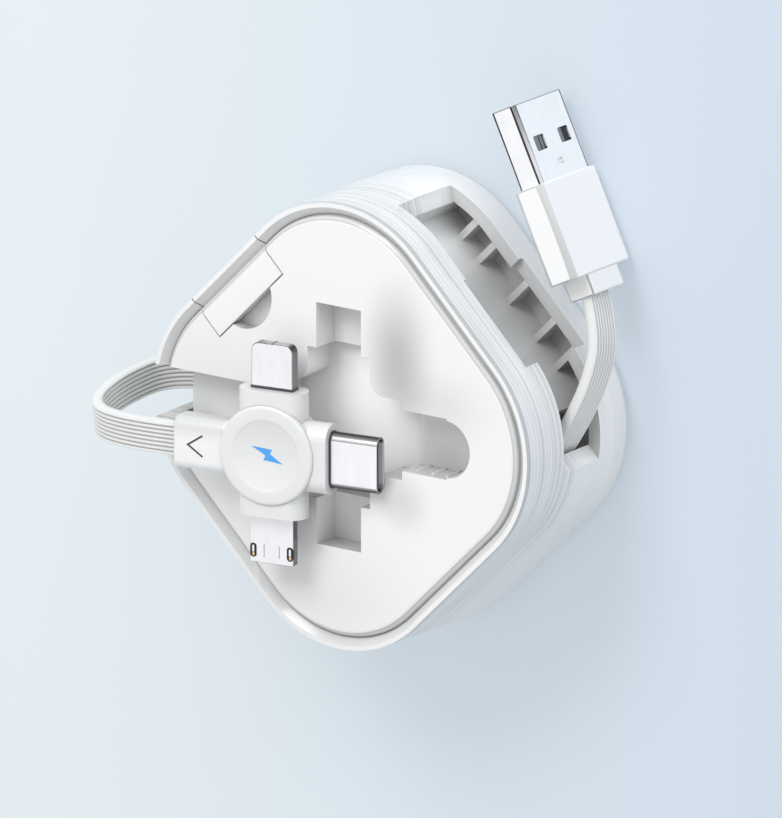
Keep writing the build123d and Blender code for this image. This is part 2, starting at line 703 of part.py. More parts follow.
def trapezoid(inset):
    """Section of the small plug, its wide side to the front, drawn in by an inset."""
    wide = trap_width / 2 - inset
    front = trap_thick / 2 - inset
    with BuildLine() as edge:
        Polyline(
            (-wide, front), (wide, front), (wide, 0.1), (wide - 0.7, -front), (0.7 - wide, -front), (-wide, 0.1),
            close=True,
        )
    make_face(edge.line.edges())


with BuildPart() as micro_shell:
    with BuildSketch(trap_face):
        trapezoid(0)
    extrude(amount=trap_length)
    with BuildSketch(trap_face):
        trapezoid(trap_skin)
    extrude(amount=trap_length, mode=Mode.SUBTRACT)

micro_shell.part.label = "micro_shell"
export_step(micro_shell.part, "parts/micro_shell.step")

with BuildPart() as micro_tongue:
    with BuildSketch(trap_face):
        trapezoid(trap_skin)
    extrude(amount=2.0)
    block(trap_face, (-2.4, 2.4), (-0.5, 0.0), (1.5, trap_length - 0.5))

micro_tongue.part.label = "micro_tongue"
export_step(micro_tongue.part, "parts/micro_tongue.step")

# Neck sleeve over the end of the left ribbon
with BuildPart() as neck_sleeve:
    with BuildSketch(right_axis.offset(-neck_end)):
        RectangleRounded(neck_height, neck_thick, neck_round)
    extrude(amount=neck_end - neck_joint)

neck_sleeve.part.label = "neck_sleeve"
export_step(neck_sleeve.part, "parts/neck_sleeve.step")

with BuildPart() as neck_mark:
    with BuildSketch(head.offset(collar_z + neck_thick / 2)):
        with BuildLine():
            Polyline((-10.5, 1.6), (-12.9, 0), (-10.5, -1.6))
        trace(line_width=0.28)
    extrude(amount=0.04)

neck_mark.part.label = "neck_mark"
export_step(neck_mark.part, "parts/neck_mark.step")

# Large flat plug: moulded body, relief, metal shell, tongue and contacts
with BuildPart() as a_body:
    block(plug, (0, body_length), (-body_thick / 2, body_thick / 2), (-body_width / 2, body_width / 2))
    fillet(a_body.edges().filter_by(Axis(plug.origin, plug.x_dir)), 1.0)
    block(plug, (body_length - 4, body_length + 1), (-shell_thick / 2, shell_thick / 2), (-shell_width / 2, shell_width / 2), Mode.SUBTRACT)

a_body.part.label = "a_body"
export_step(a_body.part, "parts/a_body.step")

with BuildPart() as a_relief:
    block(plug, (-relief_length, 0), (-relief_thick / 2, relief_thick / 2), (-relief_width / 2, relief_width / 2))
    fillet(a_relief.edges().filter_by(Axis(plug.origin, plug.x_dir)), 0.6)

a_relief.part.label = "a_relief"
export_step(a_relief.part, "parts/a_relief.step")

with BuildPart() as a_shell:
    reach = (body_length - 4, body_length + shell_length)
    half_t = shell_thick / 2
    half_w = shell_width / 2
    block(plug, reach, (-half_t, half_t), (-half_w, half_w))
    fillet(a_shell.edges().filter_by(Axis(plug.origin, plug.x_dir)), 0.4)
    bore_t = half_t - shell_skin
    bore_w = half_w - shell_skin
    block(plug, (reach[0] + shell_skin, reach[1] + 1), (-bore_t, bore_t), (-bore_w, bore_w), Mode.SUBTRACT)
    # Two latch windows and one small square in each wide side
    for z in (-2.6, 2.6):
        window = (body_length + 4.9, body_length + 7.3)
        block(plug, window, (-half_t - 1, half_t + 1), (z - 1.2, z + 1.2), Mode.SUBTRACT)
    square = (body_length + 2.0, body_length + 2.9)
    block(plug, square, (-half_t - 1, half_t + 1), (-0.45, 0.45), Mode.SUBTRACT)

a_shell.part.label = "a_shell"
export_step(a_shell.part, "parts/a_shell.step")

with BuildPart() as a_tongue:
    root = (body_length - 4 + shell_skin, body_length - 0.2)
    block(plug, root, (-bore_t, bore_t), (-bore_w, bore_w))
    block(plug, (root[1] - 0.1, body_length + shell_length - 0.6), (-bore_t, -0.1), (-bore_w, bore_w))

a_tongue.part.label = "a_tongue"
export_step(a_tongue.part, "parts/a_tongue.step")

with BuildPart() as a_contacts:
    for place, start in ((-3.5, 1.2), (-1.0, 2.2), (1.0, 2.2), (3.5, 1.2)):
        reach = (body_length + 12.0 - start - 7.4, body_length + 12.0 - start)
        block(plug, reach, (-0.1, -0.02), (place - 0.5, place + 0.5))

a_contacts.part.label = "a_contacts"
export_step(a_contacts.part, "parts/a_contacts.step")
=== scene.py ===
"""Retractable charging cable with a three-plug head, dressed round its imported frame.

Lengths are millimetres. make_mesh and the finishes turn them into metres, and so do the cords.
"""
import math

import bmesh
import bpy
import numpy as np
from mathutils import Matrix, Vector


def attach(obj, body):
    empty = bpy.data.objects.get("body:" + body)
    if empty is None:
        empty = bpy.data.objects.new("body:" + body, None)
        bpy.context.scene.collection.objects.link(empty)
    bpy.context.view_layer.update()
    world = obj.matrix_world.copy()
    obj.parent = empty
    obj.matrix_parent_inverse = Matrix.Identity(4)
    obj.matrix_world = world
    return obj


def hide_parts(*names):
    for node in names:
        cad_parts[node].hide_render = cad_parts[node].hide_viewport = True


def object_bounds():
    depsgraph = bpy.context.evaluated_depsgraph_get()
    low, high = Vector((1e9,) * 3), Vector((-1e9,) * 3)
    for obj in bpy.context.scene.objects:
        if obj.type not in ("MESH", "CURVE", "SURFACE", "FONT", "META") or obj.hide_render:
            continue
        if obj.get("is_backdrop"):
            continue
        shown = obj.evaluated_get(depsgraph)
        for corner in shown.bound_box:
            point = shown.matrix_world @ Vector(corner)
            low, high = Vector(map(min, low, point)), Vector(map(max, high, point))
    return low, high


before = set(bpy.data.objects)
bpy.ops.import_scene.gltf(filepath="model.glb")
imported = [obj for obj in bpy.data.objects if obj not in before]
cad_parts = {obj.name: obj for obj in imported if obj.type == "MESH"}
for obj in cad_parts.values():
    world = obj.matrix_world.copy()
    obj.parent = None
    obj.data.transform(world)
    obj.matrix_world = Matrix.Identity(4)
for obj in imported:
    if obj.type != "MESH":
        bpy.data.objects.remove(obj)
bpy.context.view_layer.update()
MM = 0.001
DIAGONAL = math.sqrt(0.5)

# Local frames


def unit(vector):
    vector = np.asarray(vector, float)
    return vector / np.linalg.norm(vector)


class Place:
    """A local frame: points (x, y, z) in it become origin + x X + y Y + z Z of the part."""

    def __init__(self, origin, x_dir, z_dir):
        z = unit(z_dir)
        x = np.asarray(x_dir, float)
        x = unit(x - x.dot(z) * z)
        self.origin = np.asarray(origin, float)
        self.axes = np.array([x, np.cross(z, x), z])

    def out(self, points):
        return self.origin + np.asarray(points, float) @ self.axes


TILT = math.radians(10.0)
HEAD = Place((-7.9, -4.0, 33.3), (math.cos(TILT), 0, -math.sin(TILT)), (math.sin(TILT), 0, math.cos(TILT)))
TURN = math.radians(115.8)
PLUG = Place((31.83, 24.46, 7.7), (math.cos(TURN), math.sin(TURN), 0), (0, 0, 1))
LEFT_LOOP = Place((-23.0, -4.0, 32.9), (-0.985, 0.0, 0.174), (0.021, 0.982, 0.185))
RIGHT_LOOP = Place((33.33, 21.46, 8.45), (1, 0, 0), (0, 0.2045, 0.979))
LEFT_POINTS = [(0, 0), (8.5, 0.2), (16.6, -2.6), (16.9, -12.5), (11.9, -22.4), (1.0, -20.8)]
RIGHT_POINTS = [(-0.45, 0.9), (2.5, -5.2), (1.9, -12.0), (-0.6, -18.6), (-3.8, -24.6), (-7.2, -30.1)]

# Camera

# Unit vectors of the picture: to the right, up, and from the case to the camera
PICTURE_RIGHT = Vector((0.8091, 0.0, -0.5877)).normalized()
TO_CAMERA = Vector((0.5642, 0.2800, 0.7766)).normalized()
PICTURE_UP = TO_CAMERA.cross(PICTURE_RIGHT).normalized()
CAMERA_DISTANCE = 2.5
# The picture's middle in metres: on the case's front, then along the picture's right and up
FRONT_MIDDLE = Vector((0, 0, 0.026))
AIM_RIGHT = 0.007523
AIM_UP = 0.002706
LENS = 755.9


def make_camera():
    """A long lens far away, because the photograph shows almost no perspective."""
    data = bpy.data.cameras.new("camera")
    camera = bpy.data.objects.new("camera", data)
    bpy.context.scene.collection.objects.link(camera)
    aim = FRONT_MIDDLE + PICTURE_RIGHT * AIM_RIGHT + PICTURE_UP * AIM_UP
    turn = Matrix((PICTURE_RIGHT, PICTURE_UP, TO_CAMERA)).transposed()
    camera.matrix_world = Matrix.Translation(aim + TO_CAMERA * CAMERA_DISTANCE) @ turn.to_4x4()
    data.sensor_width = 36.0
    data.lens = LENS
    data.clip_start = 0.05
    data.clip_end = 60.0
    bpy.context.scene.camera = camera


make_camera()

# Mesh helpers


def make_mesh(name, points, faces, smooth=True):
    """One object from points and lists of faces."""
    mesh = bpy.data.meshes.new(name)
    mesh.from_pydata((np.asarray(points, float) * MM).tolist(), [], [list(f) for f in faces])
    mesh.validate()
    mesh.update()
    piece = bpy.data.objects.new(name, mesh)
    bpy.context.scene.collection.objects.link(piece)
    if smooth:
        mesh.shade_smooth()
    return piece


def tidy(piece, sharp=None, merge=True):
    """Merge doubles, turn all faces outwards, and keep edges over `sharp` degrees crisp."""
    work = bmesh.new()
    work.from_mesh(piece.data)
    if merge:
        bmesh.ops.remove_doubles(work, verts=work.verts, dist=1e-7)
    bmesh.ops.recalc_face_normals(work, faces=work.faces)
    work.to_mesh(piece.data)
    work.free()
    if sharp is not None:
        piece.data.set_sharp_from_angle(angle=math.radians(sharp))
    return piece


def ring_faces(rows, around):
    """Quads between successive closed rows of `around` points each."""
    row, column = np.meshgrid(np.arange(rows - 1), np.arange(around), indexing="ij")
    after = (column + 1) % around
    quads = np.stack([row * around + column, row * around + after,
                      (row + 1) * around + after, (row + 1) * around + column], axis=-1)
    return quads.reshape(-1, 4).tolist()


def fan(first, around, middle, flip=False):
    """Triangles from one closed row of points to the point in its middle."""
    index = np.arange(around)
    after = (index + 1) % around
    faces = np.stack([first + index, first + after, np.full(around, middle)], axis=-1)
    return (faces[:, ::-1] if flip else faces).tolist()


def wrapped(rings):
    """Points and faces of a skin over rings of points, shape (rows, around, 3). A fan closes it
    at each end, round the mean of the ring there."""
    rings = np.asarray(rings, float)
    rows, around = rings.shape[:2]
    ends = np.array([rings[0].mean(0), rings[-1].mean(0)])
    faces = ring_faces(rows, around)
    faces += fan(0, around, rows * around, flip=True)
    faces += fan((rows - 1) * around, around, rows * around + 1)
    return np.vstack([rings.reshape(-1, 3), ends]), faces


def loft(name, rings, sharp=35):
    """A piece with a skin over rings of points, closed at both ends."""
    return tidy(make_mesh(name, *wrapped(rings)), sharp)


def rounded_rectangle(width, height, radius, corner=8):
    """Outline of a rectangle with round corners, counter-clockwise: each corner is a quarter
    circle of `corner` + 1 points round the middle (width/2 - r, height/2 - r)."""
    radius = min(radius, width / 2 - 1e-4, height / 2 - 1e-4)
    angle = np.linspace(0, math.pi / 2, corner + 1)
    arc = np.stack([np.cos(angle), np.sin(angle)], axis=-1) * radius
    middle = np.array([width / 2 - radius, height / 2 - radius])
    parts = []
    for turn in range(4):
        c, s = round(math.cos(turn * math.pi / 2)), round(math.sin(turn * math.pi / 2))
        rotate = np.array([[c, s], [-s, c]])
        centre = middle * [1 if turn in (0, 3) else -1, 1 if turn in (0, 1) else -1]
        parts.append(arc @ rotate + centre)
    return np.vstack(parts)


def stacked(outline, levels, place):
    """Rings of a rounded rectangle along the place's x axis. outline is (width, height, radius);
    each level is (inset, position), so the ring there is the outline moved in by its inset."""
    width, height, radius = outline
    rings = []
    for inset, along in levels:
        flat = rounded_rectangle(width - 2 * inset, height - 2 * inset, max(radius - inset, 0.02))
        rings.append(place.out(np.column_stack([np.full(len(flat), along), flat])))
    return np.array(rings)


def turned_body(name, profile, place, around, sharp):
    """A body of revolution about the place's z axis from (radius, height) pairs."""
    angle = np.linspace(0, 2 * math.pi, around, endpoint=False)
    ring = np.stack([np.cos(angle), np.sin(angle)], axis=-1)
    rings = [np.column_stack([ring * max(r, 1e-4), np.full(around, h)]) for r, h in profile]
    return loft(name, [place.out(r) for r in rings], sharp)


def round_edges(piece, width, segments, angle, hardened=True):
    """Round the edges that turn by more than an angle in degrees."""
    bevel = piece.modifiers.new("rounded edges", "BEVEL")
    bevel.width = width * MM
    bevel.segments = segments
    bevel.limit_method = "ANGLE"
    bevel.angle_limit = math.radians(angle)
    bevel.harden_normals = hardened


def softened(node, width, segments=2, angle=30.0):
    """A finished copy of a CAD node: doubles merged, flat faces joined, crisp edges rounded."""
    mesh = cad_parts[node].data.copy()
    mesh.name = node + "_skin"
    mesh.materials.clear()
    work = bmesh.new()
    work.from_mesh(mesh)
    bmesh.ops.remove_doubles(work, verts=work.verts, dist=2e-6)
    bmesh.ops.dissolve_limit(work, angle_limit=math.radians(0.6), verts=work.verts, edges=work.edges)
    for face in work.faces:
        face.smooth = True
    work.to_mesh(mesh)
    work.free()
    piece = bpy.data.objects.new(node + "_skin", mesh)
    bpy.context.scene.collection.objects.link(piece)
    round_edges(piece, width, segments, angle, hardened=False)
    level = piece.modifiers.new("flat faces lead the shading", "WEIGHTED_NORMAL")
    level.mode = "FACE_AREA"
    level.weight = 90
    level.keep_sharp = False
    return piece


def plate(name, outline, low, high, place, bevel, segments=3):
    """A flat plate: an outline in the place's x and y, from one height to another, with its rims
    rounded."""
    count = len(outline)
    under = np.column_stack([outline, np.full(count, low)])
    over = np.column_stack([outline, np.full(count, high)])
    sides = [[i, (i + 1) % count, count + (i + 1) % count, count + i] for i in range(count)]
    faces = sides + [list(range(count))[::-1], list(range(count, 2 * count))]
    piece = tidy(make_mesh(name, place.out(np.vstack([under, over])), faces))
    round_edges(piece, bevel, segments, 40)
    return piece


def rectangle(x0, x1, y0, y1):
    return [(x0, y0), (x1, y0), (x1, y1), (x0, y1)]


def give_finish(mesh, finish):
    mesh.materials.clear()
    mesh.materials.append(finish)


def dress(piece, node, body, finish):
    """Let a piece stand for a CAD node, ride on its body and take its finish."""
    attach(piece, body)
    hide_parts(node)
    give_finish(piece.data, finish)


def add_detail(piece, slot, finish, names):
    """A small piece of the scene alone that sits on a plug, and its name in a list."""
    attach(piece, "case")
    give_finish(piece.data, finish)
    names.append(piece.name)


# Shader nodes


class Net:
    """The nodes and links of a material or a group, with one short call for each kind of node.
    What a call gives to an input is a number, a vector or another node's output."""

    def __init__(self, tree):
        self.nodes, self.links = tree.nodes, tree.links

    def fill(self, node, values):
        for name, value in dict(values).items():
            if isinstance(value, bpy.types.NodeSocket):
                self.links.new(value, node.inputs[name])
            else:
                node.inputs[name].default_value = value

    def add(self, kind, values=(), **settings):
        node = self.nodes.new("ShaderNode" + kind)
        for name, setting in settings.items():
            setattr(node, name, setting)
        self.fill(node, values)
        return node

    def math(self, operation, *values):
        return self.add("Math", enumerate(values), operation=operation).outputs[0]

    def product(self, first, *others):
        for other in others:
            first = self.math("MULTIPLY", first, other)
        return first

    def span(self, value, start, end, low=0.0, high=1.0, smooth=False):
        """Map start to end onto low to high, and keep to low and high beyond them."""
        values = {"Value": value, "From Min": start, "From Max": end, "To Min": low, "To Max": high}
        step = "SMOOTHSTEP" if smooth else "LINEAR"
        return self.add("MapRange", values, interpolation_type=step).outputs[0]

    def dot(self, vector, axis):
        axis = axis if isinstance(axis, bpy.types.NodeSocket) else tuple(axis)
        return self.add("VectorMath", {0: vector, 1: axis}, operation="DOT_PRODUCT").outputs["Value"]

    def length(self, vector):
        return self.add("VectorMath", {0: vector}, operation="LENGTH").outputs["Value"]

    def scaled(self, colour, share):
        return self.add("VectorMath", {0: colour, "Scale": share}, operation="SCALE").outputs[0]

    def apart(self, vector):
        return self.add("SeparateXYZ", {0: vector}).outputs

    def stretched(self, where, scale):
        return self.add("Mapping", {"Vector": where, "Scale": scale}).outputs["Vector"]

    def noise(self, where, scale, detail):
        return self.add("TexNoise", {"Vector": where, "Scale": scale, "Detail": detail}).outputs["Fac"]

    def ramp(self, value, stops):
        """A ramp of greys; stops are (place, tone) pairs."""
        node = self.add("ValToRGB", {"Fac": value})
        points = node.color_ramp.elements
        while len(points) < len(stops):
            points.new(0.5)
        for point, (place, tone) in zip(points, stops):
            point.position = place
            point.color = (tone, tone, tone, 1)
        return node.outputs["Color"]


def new_group(name, takes, gives):
    """A node group: takes maps each input to its default, gives maps each output to its kind.
    Returned with its net and the nodes that hold its inputs and its results."""
    group = bpy.data.node_groups.new(name, "ShaderNodeTree")
    for entry, value in takes.items():
        kind = "Float" if isinstance(value, float) else "Color" if len(value) == 4 else "Vector"
        item = group.interface.new_socket(name=entry, in_out="INPUT", socket_type="NodeSocket" + kind)
        item.default_value = value
    for entry, kind in gives.items():
        group.interface.new_socket(name=entry, in_out="OUTPUT", socket_type="NodeSocket" + kind)
    net = Net(group)
    return group, net, net.nodes.new("NodeGroupInput").outputs, net.nodes.new("NodeGroupOutput")


SKIN_RESULTS = {"Height": "Float", "Color": "Color", "Roughness": "Float"}


def moulded_grain_group():
    """Two noises over the surface: a fine one for the height, a broad one for shade and gloss."""
    takes = {"Scale": 900.0, "Broad Scale": 45.0, "Tone": (0.9, 0.9, 0.9, 1.0), "Tone Change": 0.04,
             "Gloss Low": 0.2, "Gloss High": 0.3}
    group, net, given, result = new_group("moulded grain", takes, SKIN_RESULTS)
    where = net.add("TexCoord").outputs["Object"]
    fine = net.noise(where, given["Scale"], 3.0)
    broad = net.noise(where, given["Broad Scale"], 2.0)
    shade = net.math("MULTIPLY_ADD", broad, given["Tone Change"], 0.98)
    gloss = net.span(broad, 0.3, 0.7, given["Gloss Low"], given["Gloss High"])
    net.fill(result, {"Height": fine, "Color": net.scaled(given["Tone"], shade), "Roughness": gloss})
    return group


def drawn_lines_group():
    """Fine lines as drawn metal has, from one stretched noise, in the height, shade and gloss."""
    takes = {"Tone": (0.9, 0.9, 0.9, 1.0), "Gloss Low": 0.12, "Gloss High": 0.24}
    group, net, given, result = new_group("drawn lines", takes, SKIN_RESULTS)
    where = net.add("TexCoord").outputs["Object"]
    lines = net.noise(net.stretched(where, (60.0, 60.0, 900.0)), 4.0, 4.0)
    tone = net.scaled(given["Tone"], net.span(lines, 0.3, 0.7, 0.93, 1.0))
    gloss = net.span(lines, 0.0, 1.0, given["Gloss Low"], given["Gloss High"])
    net.fill(result, {"Height": lines, "Color": tone, "Roughness": gloss})
    return group


def edge_turn_group():
    """How far a surface turns away from the three flat directions of a box: 0 on its faces and 1
    along its rounded edges."""
    axes = ("Axis X", "Axis Y", "Axis Z")
    takes = {**{name: (1.0, 0.0, 0.0) for name in axes}, "Full Turn": 0.22}
    group, net, given, result = new_group("edge turn", takes, {"Edge": "Float"})
    normal = net.add("TexCoord").outputs["Normal"]
    square = [net.math("ABSOLUTE", net.dot(normal, given[name])) for name in axes]
    largest = net.math("MAXIMUM", net.math("MAXIMUM", square[0], square[1]), square[2])
    lowest = net.math("SUBTRACT", 1.0, given["Full Turn"])
    net.fill(result, {"Edge": net.span(largest, 1.0, lowest)})
    return group


def axis_turn_group():
    """How far a surface turns towards an axis: 0 where it faces away and 1 where it faces it."""
    group, net, given, result = new_group("axis turn", {"Axis": (1.0, 0.0, 0.0)}, {"Turn": "Float"})
    normal = net.add("TexCoord").outputs["Normal"]
    net.fill(result, {"Turn": net.span(net.dot(normal, given["Axis"]), -1.0, 1.0)})
    return group


MOULDED_GRAIN = moulded_grain_group()
DRAWN_LINES = drawn_lines_group()
EDGE_TURN = edge_turn_group()
AXIS_TURN = axis_turn_group()

# Finishes


def shader_of(finish):
    return finish.node_tree.nodes["Principled BSDF"]


def new_finish(name):
    finish = bpy.data.materials.new(name)
    finish.use_nodes = True
    return finish, Net(finish.node_tree), shader_of(finish)


def skinned(name, group, values, strength, depth, looks):
    """A finish whose colour, gloss and relief come from a group; looks are the shader's other
    values, and depth is the relief's in metres."""
    finish, net, shader = new_finish(name)
    skin = net.add("Group", values, node_tree=group)
    bump = net.add("Bump", {"Strength": strength, "Distance": depth, "Height": skin.outputs["Height"]})
    net.fill(shader, {"Base Color": skin.outputs["Color"], "Roughness": skin.outputs["Roughness"],
                      "Normal": bump.outputs["Normal"], **looks})
    return finish


def plastic(name, tone, gloss, change=0.04, coat=0.0, grain=900.0):
    """Moulded plastic: broad shade and gloss changes with a fine moulded surface."""
    values = {"Scale": grain, "Tone": (*tone, 1), "Tone Change": change, "Gloss Low": gloss[0],
              "Gloss High": gloss[1]}
    looks = {"Coat Weight": coat, "Coat Roughness": 0.06, "IOR": 1.5}
    return skinned(name, MOULDED_GRAIN, values, strength=0.25, depth=0.00001, looks=looks)


def metal(name, tone, gloss=(0.12, 0.24), metallic=1.0):
    """Plated metal with fine drawn lines, which change the gloss and lift the surface a little."""
    values = {"Tone": (*tone, 1), "Gloss Low": gloss[0], "Gloss High": gloss[1]}
    return skinned(name, DRAWN_LINES, values, strength=0.12, depth=0.000006, looks={"Metallic": metallic})


def shade_base(finish, tone):
    """Scale the finish's base colour by a tone from another node."""
    net, shader = Net(finish.node_tree), shader_of(finish)
    before = shader.inputs["Base Color"].links[0].from_socket
    net.fill(shader, {"Base Color": net.scaled(before, tone)})


def edge_shade(finish, place, lowest):
    """Painted reflection: darken a finish along the rounded edges of a box that lies in the given place,
    as plating mirrors a dark room there.
    """
    net = Net(finish.node_tree)
    axes = zip(("Axis X", "Axis Y", "Axis Z"), place.axes.tolist())
    turn = net.add("Group", axes, node_tree=EDGE_TURN)
    shade_base(finish, net.span(turn.outputs["Edge"], 0.0, 1.0, 1.0, lowest))


def facing_shade(finish, stops):
    """Painted reflection: tone over how far a surface faces away from the eye, as polished plating
    mirrors a bright card in front and a dark room beside it. stops are (away, tone) pairs."""
    net = Net(finish.node_tree)
    away = net.add("LayerWeight", {"Blend": 0.5}).outputs["Facing"]
    shade_base(finish, net.ramp(away, stops))


def corner_shade(finish, axis, stops):
    """Painted reflection and painted shade: tone over how far a surface turns towards an axis, for
    rounded long edges that mirror a dark room: the cosine between them runs from -1 to 1. stops are
    (cosine, tone) pairs."""
    net = Net(finish.node_tree)
    turn = net.add("Group", {"Axis": axis.tolist()}, node_tree=AXIS_TURN)
    shade_base(finish, net.ramp(turn.outputs["Turn"], [((cosine + 1) / 2, tone) for cosine, tone in stops]))


def hollow_shade(finish, reach, lowest):
    """Painted shade: darken the finish's colour in corners, gaps and pockets, where little light gets in."""
    net = Net(finish.node_tree)
    open_share = net.add("AmbientOcclusion", {"Distance": reach * MM}, samples=6).outputs["AO"]
    shade_base(finish, net.span(open_share, 0.15, 0.9, lowest, 1.0))


# The case's white

# The side wall lies beyond this distance from the case's middle line
WALL_REACH = 28.8
# Lines along the wall: full strength in front of the parting line, which is 13 mm up, less behind
LINES_FROM, LINES_FULL, LINES_BEHIND = 13.2, 15.0, 0.3
LINE_STRETCH = (0.8, 0.8, 1700.0)
PATCH_STRETCH = (45.0, 45.0, 500.0)
# Heights where the grey line along the wall's top begins, and the rim, each over a short blend
TOP_LINE, TOP_BLEND = 25.0, 0.1
RIM_FROM, RIM_BLEND = 24.85, 0.05
# The pocket lies nearer to the middle line than this
POCKET_REACH = 21.5
# The bay lies beyond BAY_SIDE on its side of the case and below BAY_TOP. The case's round corners
# are drawn round points that lie CORNER_OUT from its middle, along the bay and towards it.
BAY_SIDE = 21.5
BAY_TOP = 20.5
CORNER_OUT = 10.2
# Painted shade on the rim by the slope of its surfaces: bead 0.6, rim slope 0.86, border 0.66
RIM_SHADE_STOPS = ((0.0, 1.0), (0.5, 1.0), (0.53, 0.6), (0.62, 0.6), (0.68, 0.86), (0.78, 0.86), (0.82, 0.66),
             (0.9, 0.66), (0.955, 1.0))
# Painted light: each soft patch has its place and reach, and the tone in its middle. Five lie on
# the front as painted reflections of the room, one is painted light on the pocket's deep floor, one
# painted shade on the floor of its right arm and one painted light on the deep start of the bay.
PAINTED_LIGHT_PATCHES = (((10.5, 12.0, 26.0), (8.0, 15.0, 5.0), 0.57), ((17.0, 6.0, 26.0), (13.0, 8.0, 5.0), 0.84),
               ((11.4, -9.5, 26.0), (6.5, 6.0, 5.0), 0.8), ((-6.0, -27.0, 26.0), (30.0, 15.0, 5.0), 0.88),
               ((-24.0, 6.0, 26.0), (14.0, 10.0, 5.0), 0.94), ((-2.0, 3.0, 19.5), (17.0, 14.0, 1.2), 1.32),
               ((16.5, -2.5, 21.4), (11.0, 9.0, 1.2), 0.58), ((6.2, 26.0, 10.0), (11.0, 11.0, 11.0), 1.6))


class CaseSpot(Net):
    """What the case's white reads at each spot: its height, its distance from the case's middle
    line, how far it lies towards the bay and along it, and which way it faces."""

    def __init__(self, finish):
        super().__init__(finish.node_tree)
        self.finish = finish
        where = self.add("TexCoord").outputs
        self.place = where["Object"]
        facing = self.apart(where["Normal"])
        self.faces_front, self.faces_top = facing["Z"], facing["Y"]
        self.height = self.apart(self.place)["Z"]
        level = self.add("VectorMath", {0: self.place, 1: (1, 1, 0)}, operation="MULTIPLY").outputs[0]
        self.reach = self.length(level)
        self.to_bay = self.dot(self.place, (DIAGONAL, DIAGONAL, 0))
        self.along_bay = self.dot(self.place, (DIAGONAL, -DIAGONAL, 0))

    def over(self, value, limit):
        return self.math("GREATER_THAN", value, limit)

    def under(self, value, limit):
        return self.math("LESS_THAN", value, limit)

    def change_tone(self, mask, change):
        """Change the tone by a share where the mask is 1."""
        shade_base(self.finish, self.math("MULTIPLY_ADD", mask, change, 1.0))


def wall_lines(spot):
    """Fine lines parallel to the rim on the side wall, where the surface faces sideways, with
    broad weaker patches, in the tone and in the relief, and a grey line along the wall's top."""
    upright = spot.under(spot.math("ABSOLUTE", spot.faces_front), 0.6)
    wall = spot.product(upright, spot.over(spot.reach, WALL_REACH * MM))
    strength = spot.span(spot.height, LINES_FROM * MM, LINES_FULL * MM, LINES_BEHIND, 1.0)
    lined = spot.product(wall, strength)
    lines = spot.noise(spot.stretched(spot.place, LINE_STRETCH), 1.0, 3.0)
    patches = spot.noise(spot.stretched(spot.place, PATCH_STRETCH), 1.0, 1.0)
    streak = spot.span(lines, 0.34, 0.6, -0.25, 0.0)
    patch = spot.span(patches, 0.35, 0.65, -0.08, 0.02)
    spot.change_tone(spot.math("ADD", streak, patch), lined)
    top_line = spot.span(spot.height, TOP_LINE * MM, (TOP_LINE + TOP_BLEND) * MM)
    spot.change_tone(spot.product(top_line, wall), -0.3)
    shader = shader_of(spot.finish)
    grain = shader.inputs["Normal"].links[0].from_socket
    relief = spot.add("Bump", {"Strength": 0.55, "Distance": 0.00006, "Normal": grain,
                               "Height": spot.product(lines, lined)})
    spot.fill(shader, {"Normal": relief.outputs["Normal"]})


def bay_shade(spot):
    """Painted shade in the bay and the exit slot: on its ledges and the tops of its cross walls, which
    face the front, and on all that lies inside the case's outline, which is a square with corners
    of 19.3 mm round its corner points. What lies 16 mm or less from them is fully inside."""
    bay_side = spot.over(spot.to_bay, BAY_SIDE * MM)
    ledge = spot.product(bay_side, spot.over(spot.faces_front, 0.9), spot.under(spot.height, 9 * MM))
    spot.change_tone(ledge, spot.span(spot.height, 5.46 * MM, 5.49 * MM, -0.12, -0.3))
    out = spot.math("SUBTRACT", spot.to_bay, CORNER_OUT * MM)
    past = spot.math("SUBTRACT", spot.math("ABSOLUTE", spot.along_bay), CORNER_OUT * MM)
    from_corner = spot.add("CombineXYZ", {0: out, 1: spot.math("MAXIMUM", past, 0.0)}).outputs[0]
    inside = spot.span(spot.length(from_corner), 16 * MM, 19 * MM, 1.0, 0.0, smooth=True)
    within = spot.product(spot.under(spot.height, BAY_TOP * MM), spot.over(spot.height, 1 * MM))
    spot.change_tone(spot.product(inside, within, bay_side), -0.22)


def pocket_and_rim_painted_shade(spot):
    """Painted shade: the pocket's lower walls, which face up the front, are darker, and the rim's
    tone follows the slope of its surfaces."""
    lower_wall = spot.product(spot.over(spot.faces_top, 0.8), spot.under(spot.reach, POCKET_REACH * MM))
    spot.change_tone(lower_wall, -0.33)
    rim = spot.span(spot.height, RIM_FROM * MM, (RIM_FROM + RIM_BLEND) * MM)
    slope = spot.ramp(spot.faces_front, RIM_SHADE_STOPS)
    tone = spot.add("Mix", {"Factor": rim, "A": 1.0, "B": slope}, data_type="FLOAT")
    shade_base(spot.finish, tone.outputs["Result"])


def painted_light_patches(spot):
    """Painted reflections of the room on the glossy front, and painted light and shade in the pocket
    and the bay: the tone goes from 1 at a patch's reach to its own in the middle."""
    for place, size, depth in PAINTED_LIGHT_PATCHES:
        values = {"Vector": spot.place, "Location": [v * MM for v in place],
                  "Scale": [v * MM for v in size]}
        shift = spot.add("Mapping", values, vector_type="TEXTURE")
        ball = spot.add("TexGradient", {"Vector": shift.outputs["Vector"]}, gradient_type="SPHERICAL")
        shade_base(spot.finish, spot.span(ball.outputs["Fac"], 0.0, 1.0, 1.0, depth, smooth=True))


def case_plastic():
    """Glossy white with lines in the side wall, painted shade in its bay, pocket, rim and hollows, and
    painted reflections on its front.
    """
    finish = plastic("case_white_gloss", (0.84, 0.84, 0.835), (0.16, 0.26), change=0.03, coat=0.35)
    spot = CaseSpot(finish)
    wall_lines(spot)
    bay_shade(spot)
    pocket_and_rim_painted_shade(spot)
    painted_light_patches(spot)
    hollow_shade(finish, reach=5, lowest=0.74)
    return finish


# Whites of the cable and the sleeve


